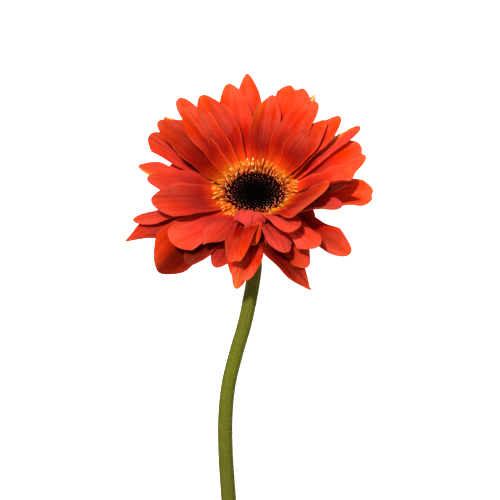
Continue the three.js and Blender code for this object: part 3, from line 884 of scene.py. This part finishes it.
def turned_points(outline, sides):
    turn = np.arange(sides) / sides * 2 * np.pi
    return [[radius * math.cos(a), radius * math.sin(a), height] for radius, height in outline for a in turn]


def turned_body(outline, sides):
    """Points and faces of a closed body turned from (radius, height) pairs, with a point at both ends."""
    rings = outline[1:-1]
    points = turned_points(rings, sides) + [[0, 0, outline[0][1]], [0, 0, outline[-1][1]]]
    low, high = len(points) - 2, len(points) - 1
    faces = []
    for k in range(len(rings) - 1):
        faces += walls(k, k + 1, sides)
    for j in range(sides):
        n = (j + 1) % sides
        faces += [[low, n, j], [high, low - sides + j, low - sides + n]]
    return points, faces


def lathe_shape(name, outline, sides=7, top_height=1.0):
    points, faces = turned_body(outline, sides)
    made = mesh_object(name, points, faces)
    top = outline[-1][1]
    store_value(made.data, "height", [top_height * np.clip(point[2] / top, 0, 1) for point in points])
    return made


closed_bud = lathe_shape("closed_bud", [
    (0, -0.6), (0.42, -0.5), (0.46, 0.3), (0.40, 0.62), (0.2, 0.85), (0, 0.92),
], top_height=0.5)
tipped_bud = lathe_shape("tipped_bud", [
    (0, -0.6), (0.3, -0.5), (0.3, 0.5), (0.1, 0.85), (0.06, 1.0), (0.15, 1.14), (0.14, 1.28), (0, 1.36),
])
anther_floret = lathe_shape("anther_floret", [
    (0, -0.8), (0.2, -0.7), (0.13, 0.6), (0.12, 1.9), (0.14, 2.3), (0.25, 2.52), (0.27, 2.75), (0.15, 2.98),
    (0, 3.05),
])
print("turned florets:", closed_bud.name, tipped_bud.name, anther_floret.name)

# %% An open floret: a five-cornered tube whose outer lip is a long strap
TUBE_SIDES = 10
TUBE_CORNERS = 5
CORNER_DEPTH = 0.1
STRAP_STEPS = 6
STRAP_START_LEAN = 18
STRAP_REACH = 0.95
STRAP_FOOT = 0.22
STRAP_FOOT_LEVEL = 0.92
STRAP_SECTION = ((-1, 0.10), (0, -0.02), (1, 0.10), (1, -0.03), (-1, -0.03))
TUBE_MOUTH_HEIGHT = 0.75
# Low heights for the tube's inside, so the finish gives it painted shade.
TUBE_INSIDE_SHADE_HEIGHTS = (0.4, 0.25)
STRAP_FOOT_HEIGHT = 0.72


def floret_tube(tube):
    """Points, faces and heights of a tube with an open mouth. The finish reads the heights, 0 to 1."""
    points, faces = turned_body([
        (0, -0.9), (0.2, -0.8), (0.17, tube * 0.5), (0.22, tube * 0.88), (0.3, tube), (0.22, tube + 0.02),
        (0.1, tube * 0.84), (0, tube * 0.72),
    ], TUBE_SIDES)
    for j, point in enumerate(points):
        corner = 1 + CORNER_DEPTH * math.cos(TUBE_CORNERS * 2 * math.pi * j / TUBE_SIDES)
        point[0] *= corner
        point[1] *= corner
    heights = [max(0.0, TUBE_MOUTH_HEIGHT * point[2] / tube) for point in points]
    # The inside wall and bottom get low heights: painted shade inside the mouth.
    inner_wall_shade, bottom = TUBE_INSIDE_SHADE_HEIGHTS
    heights[-TUBE_SIDES - 2:] = [inner_wall_shade] * TUBE_SIDES + [0.0, bottom]
    return points, faces, heights


def open_floret(name, tube, lip, lip_width, spread):
    """A tube with one long strap that bends outwards, along +X."""
    points, faces, heights = floret_tube(tube)
    first = len(points)
    sides = len(STRAP_SECTION)
    for t in np.linspace(0, 1, STRAP_STEPS + 1):
        lean = math.radians(STRAP_START_LEAN + spread * t)
        x = STRAP_FOOT + lip * t * math.sin(lean) * STRAP_REACH
        z = tube * STRAP_FOOT_LEVEL + lip * t * math.cos(lean) * STRAP_REACH
        half = lip_width / 2 * (0.75 + 0.5 * math.sin(math.pi * t)) * (1 - 0.55 * t ** 3)
        for side, lift in STRAP_SECTION:
            points.append([x - lift * math.cos(lean), side * half, z + lift * math.sin(lean)])
            heights.append(STRAP_FOOT_HEIGHT + (1 - STRAP_FOOT_HEIGHT) * t)
    for k in range(STRAP_STEPS):
        faces += [quad[::-1] for quad in walls(k, k + 1, sides, first)]
    faces.append([first + j for j in range(sides)])
    faces.append([first + STRAP_STEPS * sides + j for j in reversed(range(sides))])
    made = mesh_object(name, points, faces)
    store_value(made.data, "height", heights)
    return made


strap_floret = open_floret("strap_floret", tube=4.4, lip=1.5, lip_width=0.36, spread=24)
print("strap floret:", len(strap_floret.data.polygons), "faces")

# %% Helpers for Geometry Nodes trees


def start_tree(name, **inputs):
    """A tree with a geometry, a material and the given number, integer and object inputs."""
    tree = bpy.data.node_groups.new(name, "GeometryNodeTree")
    tree.interface.new_socket("Geometry", in_out="OUTPUT", socket_type="NodeSocketGeometry")
    tree.interface.new_socket("Geometry", in_out="INPUT", socket_type="NodeSocketGeometry")
    tree.interface.new_socket("Material", in_out="INPUT", socket_type="NodeSocketMaterial")
    for key, value in inputs.items():
        kind = {float: "NodeSocketFloat", int: "NodeSocketInt"}.get(type(value), "NodeSocketObject")
        socket = tree.interface.new_socket(key.replace("_", " "), in_out="INPUT", socket_type=kind)
        if value is not None:
            socket.default_value = value
    return tree, add_node(tree, "NodeGroupInput").outputs


def end_tree(tree, geometry, material):
    dressed = add_node(tree, "GeometryNodeSetMaterial", {"Geometry": geometry, "Material": material})
    add_node(tree, "NodeGroupOutput", {"Geometry": dressed.outputs[0]})
    return tree


def random_between(tree, low, high, seed):
    made = add_node(tree, "FunctionNodeRandomValue", {"Seed": seed}, data_type="FLOAT")
    made.inputs[2].default_value = low
    made.inputs[3].default_value = high
    return made.outputs[1]


def copies_on(tree, points, shape, turn, size):
    return add_node(tree, "GeometryNodeInstanceOnPoints", {
        "Points": points, "Instance": shape, "Rotation": turn, "Scale": size,
    }).outputs[0]


def made_real(tree, copies):
    return add_node(tree, "GeometryNodeRealizeInstances", {"Geometry": copies}).outputs[0]


print("tree helpers ready")

# %% Geometry Nodes tree that places one kind of floret in the spiral
SPIRAL_ANGLE = math.radians(137.508)
ANGLE_SPREAD = 0.05
FLORET_SIZES = (0.82, 1.12)
RING_SCALE = 0.012


def spiral_tree():
    tree, given = start_tree(
        "floret_spiral", Floret=None, Count=100, Inner_radius=0.0, Outer_radius=0.005, Inner_level=0.0,
        Outer_level=0.0, Inner_lean=0.0, Outer_lean=0.5, Unevenness=0.1, Size=1.0, Seed=1,
    )

    def share_of_the_way(share, start, end):
        return math_node(tree, "MULTIPLY_ADD", share, math_node(tree, "SUBTRACT", end, start), start)

    index = add_node(tree, "GeometryNodeInputIndex").outputs[0]
    share = math_node(tree, "DIVIDE", math_node(tree, "ADD", index, 0.5), given["Count"])
    radii = [given[name] for name in ("Inner radius", "Outer radius")]
    squares = [math_node(tree, "MULTIPLY", radius, radius) for radius in radii]
    radius = math_node(tree, "SQRT", share_of_the_way(share, *squares))
    strayed = random_between(tree, -ANGLE_SPREAD, ANGLE_SPREAD, 3)
    angle = math_node(tree, "MULTIPLY_ADD", index, SPIRAL_ANGLE, strayed)
    level = share_of_the_way(share, given["Inner level"], given["Outer level"])
    x = math_node(tree, "MULTIPLY", radius, math_node(tree, "COSINE", angle))
    y = math_node(tree, "MULTIPLY", radius, math_node(tree, "SINE", angle))
    place = add_node(tree, "ShaderNodeCombineXYZ", {0: x, 1: y, 2: level}).outputs[0]
    points = add_node(tree, "GeometryNodePoints", {"Count": given["Count"], "Position": place}).outputs[0]
    lean = share_of_the_way(share, given["Inner lean"], given["Outer lean"])
    uneven = random_between(tree, -1.0, 1.0, given["Seed"])
    lean = math_node(tree, "MULTIPLY_ADD", uneven, given["Unevenness"], lean)
    yaw = math_node(tree, "MULTIPLY_ADD", random_between(tree, -1.0, 1.0, 7), given["Unevenness"], angle)
    turn = add_node(tree, "ShaderNodeCombineXYZ", {1: lean, 2: yaw}).outputs[0]
    size = math_node(tree, "MULTIPLY", given["Size"], random_between(tree, *FLORET_SIZES, 11))
    floret = add_node(tree, "GeometryNodeObjectInfo", {"Object": given["Floret"]}).outputs["Geometry"]
    copies = copies_on(tree, points, floret, turn, size)
    ring = math_node(tree, "DIVIDE", radius, RING_SCALE)
    for name, value in (("ring", ring), ("tint", random_between(tree, 0.0, 1.0, 19))):
        copies = add_node(tree, "GeometryNodeStoreNamedAttribute", {
            "Geometry": copies, "Name": name, "Value": value,
        }, data_type="FLOAT", domain="INSTANCE").outputs[0]
    return end_tree(tree, made_real(tree, copies), given["Material"])


floret_spiral = spiral_tree()
print("inputs:", [item.name for item in floret_spiral.interface.items_tree if item.in_out == "INPUT"])

# %% Run a tree on an object and keep the result as a plain mesh


def run_tree(name, tree, values, start=None, turn=None):
    """The mesh that a Geometry Nodes tree makes from a starting mesh, as a new object at the origin."""
    mesh = start.copy() if start else bpy.data.meshes.new(name + "_start")
    holder = bpy.data.objects.new(name + "_holder", mesh)
    bpy.context.scene.collection.objects.link(holder)
    modifier = holder.modifiers.new("nodes", "NODES")
    modifier.node_group = tree
    for item in tree.interface.items_tree:
        if item.in_out == "INPUT" and item.name in values:
            modifier[item.identifier] = values[item.name]
    shown = holder.evaluated_get(bpy.context.evaluated_depsgraph_get())
    result = bpy.data.meshes.new_from_object(shown)
    bpy.data.objects.remove(holder)
    if turn:
        result.transform(turn)
    result.name = name
    made = bpy.data.objects.new(name, result)
    bpy.context.scene.collection.objects.link(made)
    return made


def joined(name, pieces):
    """Several mesh objects as one."""
    bpy.ops.object.select_all(action="DESELECT")
    for piece in pieces:
        piece.select_set(True)
    bpy.context.view_layer.objects.active = pieces[0]
    bpy.ops.object.join()
    pieces[0].name = name
    pieces[0].data.name = name
    return pieces[0]


print("tree runner ready")

# %% [markdown]
# ## Colours of the small florets
# The spiral stores how far out each floret stands, and the floret stores how far up it each point is.
# Ramps over those two values give the black middle, the pale tips and the tubes. The tubes are darker low
# down and inside the mouth, partly their own colour and partly painted shade among the crowded florets;
# the inner tubes are darkest and the outer ones orange. A third value, drawn for each floret, keeps the
# bright lips from being all alike.

# %% Materials of disc and tube florets


def disc_paint(tree):
    ring = attribute(tree, "ring")
    body = ramp(tree, ring, [
        (0.0, (0.001, 0.0, 0.0)), (0.6, (0.003, 0.001, 0.001)), (1.0, (0.05, 0.006, 0.002)),
    ])
    tip = ramp(tree, ring, [
        (0.40, (0.05, 0.018, 0.014)), (0.6, (0.28, 0.10, 0.07)), (0.72, (0.60, 0.25, 0.17)),
        (0.85, (0.95, 0.5, 0.3)),
    ])
    return mix(tree, mask(tree, attribute(tree, "height"), 0.76, 0.82), body, tip), None


def tube_paint(tree):
    height = attribute(tree, "height")
    tint = attribute(tree, "tint")
    outer = mask(tree, attribute(tree, "ring"), 0.95, 1.0)
    # Darker low down: partly the tubes' own colour, partly painted shade among the crowded florets.
    inner_tube_shaded_low = ramp(tree, height, [
        (0.0, (0.004, 0.001, 0.001)), (0.3, (0.03, 0.003, 0.002)), (0.55, (0.20, 0.02, 0.008)),
        (0.78, (0.50, 0.08, 0.02)),
    ])
    outer_tube_shaded_low = ramp(tree, height, [
        (0.0, (0.05, 0.004, 0.001)), (0.35, (0.60, 0.08, 0.003)), (0.8, (0.95, 0.28, 0.01)),
    ])
    inner_lip = ramp(tree, tint, [
        (0.0, (0.75, 0.12, 0.08)), (0.35, (0.9, 0.19, 0.06)), (0.7, (1.0, 0.32, 0.13)),
        (1.0, (1.0, 0.6, 0.38)),
    ])
    outer_lip = ramp(tree, tint, [
        (0.0, (0.9, 0.22, 0.12)), (0.3, (1.0, 0.34, 0.06)), (0.65, (1.0, 0.48, 0.14)),
        (1.0, (1.0, 0.68, 0.38)),
    ])
    tube = mix(tree, outer, inner_tube_shaded_low, outer_tube_shaded_low)
    lip = mix(tree, outer, inner_lip, outer_lip)
    return mix(tree, mask(tree, height, STRAP_FOOT_HEIGHT, 0.84), tube, lip), None


disc_material = finish_material(
    "disc_bud", disc_paint, mottle=0.3, mottle_scale=900.0, bump=0.1, Roughness=0.8, Specular_IOR_Level=0.05,
)
tube_material = finish_material(
    "tube_floret_flesh", tube_paint, mottle=0.25, mottle_scale=900.0, bump=0.1, Roughness=0.5,
    Subsurface_Weight=0.2, Subsurface_Radius=(1.0, 0.4, 0.1), Subsurface_Scale=0.0005,
    Specular_IOR_Level=0.08,
)
print("floret materials ready")

# %% Place the florets, zone by zone
DISC_CORE = [(0, -5.9), (9.1, -5.9), (9.1, -2.9), (7.4, -2.4), (3.5, -2.6), (0, -2.8)]
TUBE_CORE = [(8.9, -5.9), (13.2, -5.9), (13.2, -4.0), (12.2, -2.7), (10.8, -2.1), (8.9, -2.4)]
CORE_SIDES = 48


def core(name, outline, material):
    """A plain body under the florets, turned round the head's axis: a ring unless it starts on the axis."""
    if outline[0][0] > 0:
        points = turned_points(outline, CORE_SIDES)
        faces = []
        for k in range(len(outline)):
            faces += walls(k, (k + 1) % len(outline), CORE_SIDES)
    else:
        points, faces = turned_body(outline, CORE_SIDES)
    return mesh_object(name, on_table(np.array(points)), faces, material)


def floret_zone(name, floret, count, radii, levels, leans, **own):
    """One zone of florets, with radii and levels in mm and leans in degrees from its inner to outer side."""
    material = disc_material if floret in (closed_bud, tipped_bud) else tube_material
    return run_tree(name, floret_spiral, {
        "Floret": floret, "Material": material, "Count": count,
        "Inner radius": radii[0] * MM, "Outer radius": radii[1] * MM,
        "Inner level": levels[0] * MM, "Outer level": levels[1] * MM,
        "Inner lean": math.radians(leans[0]), "Outer lean": math.radians(leans[1]), **own,
    }, turn=head_matrix)


disc = joined("disc_florets_fine", [
    core("disc_core", DISC_CORE, disc_material),
    floret_zone("buds", closed_bud, 420, (0.0, 10.2), (-2.9, -2.2), (0, 10), Unevenness=0.05),
    floret_zone("tipped_buds", tipped_bud, 115, (4.6, 9.9), (-2.7, -2.2), (2, 12), Unevenness=0.12, Seed=2),
])
tubes = joined("tube_florets_fine", [
    # This body under the tube florets holds no heights, so it takes the finish's darkest colour: painted
    # shade between the florets.
    core("tube_core", TUBE_CORE, tube_material),
    floret_zone("anthers", anther_floret, 210, (10.1, 12.5), (-2.5, -2.7), (10, 52), Unevenness=0.22, Seed=3),
    floret_zone("straps", strap_floret, 110, (11.0, 12.6), (-2.5, -2.9), (26, 50), Unevenness=0.2, Seed=4),
    floret_zone(
        "outer_straps", strap_floret, 120, (12.2, 12.9), (-2.8, -3.2), (50, 66), Unevenness=0.2, Seed=5,
        Size=1.3,
    ),
])
for template in (closed_bud, tipped_bud, anther_floret, strap_floret):
    bpy.data.objects.remove(template)
print("disc", len(disc.data.polygons), "faces, tubes", len(tubes.data.polygons), "faces")

# %% [markdown]
# ## The green cup
# Under the head, pointed bracts overlap in rows like roof tiles on a shallow cup. They are blades too,
# so the blade function makes them with other numbers, one at each clock angle, slightly uneven.

# %% Cup, bracts and their finish
CUP = [(0, -12.0), (3.6, -12.0), (7.5, -11.0), (10.8, -8.7), (12.2, -6.2), (0, -6.2)]
BRACT_ROWS = [
    dict(count=26, root=(8.8, -9.3), rise=22, long=9.0, wide=2.7),
    dict(count=22, root=(7.8, -10.2), rise=26, long=8.6, wide=2.6),
    dict(count=18, root=(6.2, -11.2), rise=26, long=8.2, wide=2.6),
]
BRACT_DROOP = 10.0
BRACT_UNEVENNESS = 3
BRACT_HALF_THICKNESS = 0.22
BRACT_RIM_THINNING = 0.5
BRACT_LONG = 10
BRACT_WIDE = 6
BRACT_SEED = 900
SEEDS_PER_ROW = 40
BRACT_HABIT = dict(
    sway=0.0, cup=35.0, left=35.0, right=35.0, claw=0.9, broad=0.3, tip=0.1, round=0.1, notch=0.0,
    level=-40.0,
)


def green_paint(tree):
    return ramp(tree, attribute(tree, "along"), [
        (0.0, (0.10, 0.15, 0.03)), (0.6, (0.13, 0.20, 0.04)), (1.0, (0.22, 0.16, 0.05)),
    ]), None


cup_material = finish_material(
    "green_bract", green_paint, mottle=0.4, mottle_scale=500.0, bump=0.3, Roughness=0.6,
    Subsurface_Weight=0.1, Subsurface_Radius=(0.6, 1.0, 0.2), Subsurface_Scale=0.0006,
)


def bract(row, at, seed):
    draw = np.random.default_rng(seed)
    rise = row["rise"] + draw.uniform(-BRACT_UNEVENNESS, BRACT_UNEVENNESS)
    blade = {**BRACT_HABIT, **row, "at": at, "rise": (rise, rise - BRACT_DROOP)}
    sheet, s, v = blade_sheet(blade, BRACT_LONG, BRACT_WIDE)
    thinned = 1 - BRACT_RIM_THINNING * np.abs(v) ** 4
    half = sheet_normals(sheet) * (BRACT_HALF_THICKNESS * thinned)[..., None]
    points, quads = closed_blade(sheet + half, sheet - half)
    return points, quads, {"along": both_faces(s, s)}


bract_parts = []
for number, row in enumerate(BRACT_ROWS):
    for k in range(row["count"]):
        at = (k + 0.5 * (number % 2)) / row["count"] * 360
        bract_parts.append(bract(row, at, BRACT_SEED + SEEDS_PER_ROW * number + k))
cup = joined("green_cup", [
    core("cup_body", CUP, cup_material),
    blades_object("bracts", *gathered(bract_parts), cup_material),
])
print("green cup with", len(bract_parts), "bracts")

# %% [markdown]
# ## The stem
# The stem leaves the cup along the head's axis, bends down to the table and lies along it in a slight
# S. A tube that follows a path is another task for Geometry Nodes: a curve holds the route, and the
# tree gives it a finely ribbed section and its taper. The route's points are the same as in the model.

# %% Route of the stem
STEM_TOP_LEVEL = -12.3
STEM_END_RADIUS = 3.5
STEM_MIDDLE_RADIUS = 3.1
STEM_TOP_RADIUS = 3.0
NECK_STRAIGHT = 2.0
NECK_BEND = math.radians(48)
NECK_STEPS = 5
LYING = [
    (-4, -56), (-8, -70), (-11.4, -84), (-12.8, -98), (-12.8, -112), (-12, -126), (-10.4, -145),
    (-7.5, -170), (-4.6, -195), (-2, -220), (0, -247),
]


def stem_points():
    """Down from the cup, round the neck's arc and along the table, in table directions."""
    top = on_table(np.array([0, 0, STEM_TOP_LEVEL]))
    start = on_table(np.array([0, 0, STEM_TOP_LEVEL - NECK_STRAIGHT]))
    radius = (start[2] - STEM_END_RADIUS) / (1 - math.cos(NECK_BEND))
    route = [top]
    for slope in np.linspace(NECK_BEND, 0, NECK_STEPS + 1):
        back = radius * (math.sin(NECK_BEND) - math.sin(slope))
        route.append([HEAD_CENTRE[0], start[1] - back, STEM_END_RADIUS + radius * (1 - math.cos(slope))])
    for x, y in LYING:
        route.append([HEAD_CENTRE[0] + x, HEAD_CENTRE[1] + y, STEM_END_RADIUS])
    return np.array(route)


def between(a, b, start, end, t):
    """From a at start to b at end, in a straight line."""
    return ((end - t) * a + (t - start) * b) / (end - start)


def smooth_route(points, per_span=8):
    """A centripetal Catmull-Rom curve through the points."""
    ends = np.vstack([2 * points[0] - points[1], points, 2 * points[-1] - points[-2]])
    route = []
    for k in range(len(points) - 1):
        four = ends[k:k + 4]
        knots = np.concatenate([[0], np.cumsum(np.linalg.norm(np.diff(four, axis=0), axis=1) ** 0.5)])
        for t in np.linspace(knots[1], knots[2], per_span, endpoint=False):
            first = [between(four[i], four[i + 1], knots[i], knots[i + 1], t) for i in range(3)]
            second = [between(first[i], first[i + 1], knots[i], knots[i + 2], t) for i in range(2)]
            route.append(between(*second, knots[1], knots[2], t))
    return np.array(route + [points[-1]])


route = smooth_route(stem_points())
route_length = np.linalg.norm(np.diff(route, axis=0), axis=1).sum()
print("route of", len(route), "points, length", round(float(route_length), 1), "mm")

# %% Geometry Nodes tree for the stem's tube and taper
STEM_SIDES = 40
STEM_RIBS = 9
RIB_HEIGHT = 0.035
MIDDLE_AT = 0.3


def tube_tree():
    tree, given = start_tree(
        "ribbed_stem", Top_radius=0.003, Middle_radius=0.003, End_radius=0.0035, Rib=0.03,
    )

    def taper(share, start, end, low, high):
        return add_node(tree, "ShaderNodeMapRange", {
            "Value": share, "From Min": start, "From Max": end, "To Min": low, "To Max": high,
        }).outputs[0]

    line = add_node(tree, "GeometryNodeMeshToCurve", {"Mesh": given["Geometry"]}).outputs[0]
    share = add_node(tree, "GeometryNodeSplineParameter").outputs["Factor"]
    upper = taper(share, 0.0, MIDDLE_AT, given["Top radius"], given["Middle radius"])
    growth = math_node(tree, "SUBTRACT", given["End radius"], given["Middle radius"])
    radius = math_node(tree, "ADD", upper, taper(share, MIDDLE_AT, 1.0, 0.0, growth))
    kept = add_node(tree, "GeometryNodeStoreNamedAttribute", {
        "Geometry": line, "Name": "along", "Value": share,
    }, data_type="FLOAT", domain="POINT").outputs[0]
    ring = add_node(tree, "GeometryNodeCurvePrimitiveCircle", {
        "Resolution": STEM_SIDES, "Radius": 1.0,
    }).outputs[0]
    turn = math_node(tree, "MULTIPLY", share, 2 * math.pi * STEM_RIBS)
    swell = math_node(tree, "MULTIPLY_ADD", math_node(tree, "COSINE", turn), given["Rib"], 1.0)
    ribbed = scaled(tree, add_node(tree, "GeometryNodeInputPosition").outputs[0], swell)
    section = add_node(tree, "GeometryNodeSetPosition", {"Geometry": ring, "Position": ribbed}).outputs[0]
    tube = add_node(tree, "GeometryNodeCurveToMesh", {
        "Curve": kept, "Profile Curve": section, "Scale": radius, "Fill Caps": True,
    }).outputs[0]
    return end_tree(tree, tube, given["Material"])


ribbed_stem = tube_tree()
print("tube tree:", len(ribbed_stem.nodes), "nodes")

# %% Stem finish and stem


def stem_paint(tree):
    # The top, under the head, is lighter and browner: partly the stem's own colour, partly painted light that
    # lifts the head's shadow there.
    return ramp(tree, attribute(tree, "along"), [
        (0.0, (0.20, 0.14, 0.020)), (0.12, (0.20, 0.15, 0.018)), (0.17, (0.13, 0.13, 0.006)),
        (0.30, (0.12, 0.135, 0.003)), (0.45, (0.105, 0.11, 0.005)), (0.62, (0.10, 0.10, 0.006)),
        (0.85, (0.10, 0.095, 0.007)), (1.0, (0.10, 0.092, 0.007)),
    ]), None


stem_material = finish_material(
    "stem_skin", stem_paint, mottle=0.35, mottle_scale=350.0, bump=0.25, Roughness=0.6,
    Specular_IOR_Level=0.2, Subsurface_Weight=0.12, Subsurface_Radius=(0.6, 1.0, 0.2),
    Subsurface_Scale=0.001,
)
route_mesh = bpy.data.meshes.new("stem_route")
route_mesh.from_pydata((route * MM).tolist(), [(k, k + 1) for k in range(len(route) - 1)], [])
stem = run_tree("stem_fine", ribbed_stem, {
    "Material": stem_material, "Top radius": STEM_TOP_RADIUS * MM, "Middle radius": STEM_MIDDLE_RADIUS * MM,
    "End radius": STEM_END_RADIUS * MM, "Rib": RIB_HEIGHT,
}, start=route_mesh)
stem.data.shade_smooth()
stem.data.set_sharp_from_angle(angle=SHARP_FROM)
print("stem:", len(stem.data.polygons), "faces")

# %% [markdown]
# ## Hairs
# Stem and bracts are covered with fine pale hairs, which soften their outline against the light. Real
# hair curves would be lost in the export, so a tree scatters thin three-sided spikes over the skin.

# %% Geometry Nodes tree for hairs, run on stem and cup
HAIR_THICKNESS = 0.035
HAIR_LEAN = (0.6, 0.6, 3.1)
HAIR_SIZES = (0.5, 1.25)


def hair_tree():
    tree, given = start_tree("fine_hairs", Density=1e6, Length=0.0008, Thickness=0.00004, Seed=5)
    spread = add_node(tree, "GeometryNodeDistributePointsOnFaces", {
        "Mesh": given["Geometry"], "Density": given["Density"], "Seed": given["Seed"],
    }).outputs
    spike = add_node(tree, "GeometryNodeMeshCone", {
        "Vertices": 3, "Radius Top": 0.0, "Radius Bottom": given["Thickness"], "Depth": given["Length"],
    }).outputs["Mesh"]
    upright = add_node(tree, "FunctionNodeAlignEulerToVector", {
        "Vector": spread["Normal"],
    }, axis="Z").outputs[0]
    lean = add_node(tree, "FunctionNodeRandomValue", {"Seed": 8}, data_type="FLOAT_VECTOR")
    lean.inputs[0].default_value = [-most for most in HAIR_LEAN]
    lean.inputs[1].default_value = HAIR_LEAN
    turned = add_node(tree, "FunctionNodeRotateEuler", {
        0: upright, 1: lean.outputs[0],
    }, space="LOCAL").outputs[0]
    copies = copies_on(tree, spread["Points"], spike, turned, random_between(tree, *HAIR_SIZES, 12))
    return end_tree(tree, made_real(tree, copies), given["Material"])


def hair_paint(tree):
    place = add_node(tree, "ShaderNodeTexCoord").outputs["Object"]
    noise = add_node(tree, "ShaderNodeTexNoise", {"Vector": place, "Scale": 90.0}).outputs["Fac"]
    return ramp(tree, noise, [(0.3, (0.42, 0.42, 0.20)), (0.7, (0.68, 0.66, 0.42))]), None


fine_hairs = hair_tree()
hair_material = finish_material("pale_hair", hair_paint, mottle=0.1, bump=0.02, Roughness=0.6)


def hairs_on(name, skin, density, length, seed):
    return run_tree(name, fine_hairs, {
        "Material": hair_material, "Density": density, "Length": length * MM,
        "Thickness": HAIR_THICKNESS * MM, "Seed": seed,
    }, start=skin.data)


stem_hairs = hairs_on("stem_hairs", stem, 1.1e6, 0.8, 5)
cup_hairs = hairs_on("cup_hairs", cup, 1.2e6, 0.7, 6)
for hairs in (stem_hairs, cup_hairs):
    print(hairs.name, "faces:", len(hairs.data.polygons))

# %% [markdown]
# ## The pieces on the model's body
# Every piece rides on the one body of the model. Each fine piece stands in for the plain solid of its
# node, and the hairs are extra.

# %% Bodies and replaced nodes
for piece, node in ((petals, "ray_florets"), (tubes, "trans_florets"), (disc, "disc_florets"),
                    (cup, "involucre"), (stem, "stem")):
    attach(piece, "root")
    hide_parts(node)
for piece, node in ((stem_hairs, "stem"), (cup_hairs, "involucre")):
    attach(piece, "root")

bpy.context.view_layer.update()
print("model box", [[round(c / MM, 1) for c in corner] for corner in cad_box])
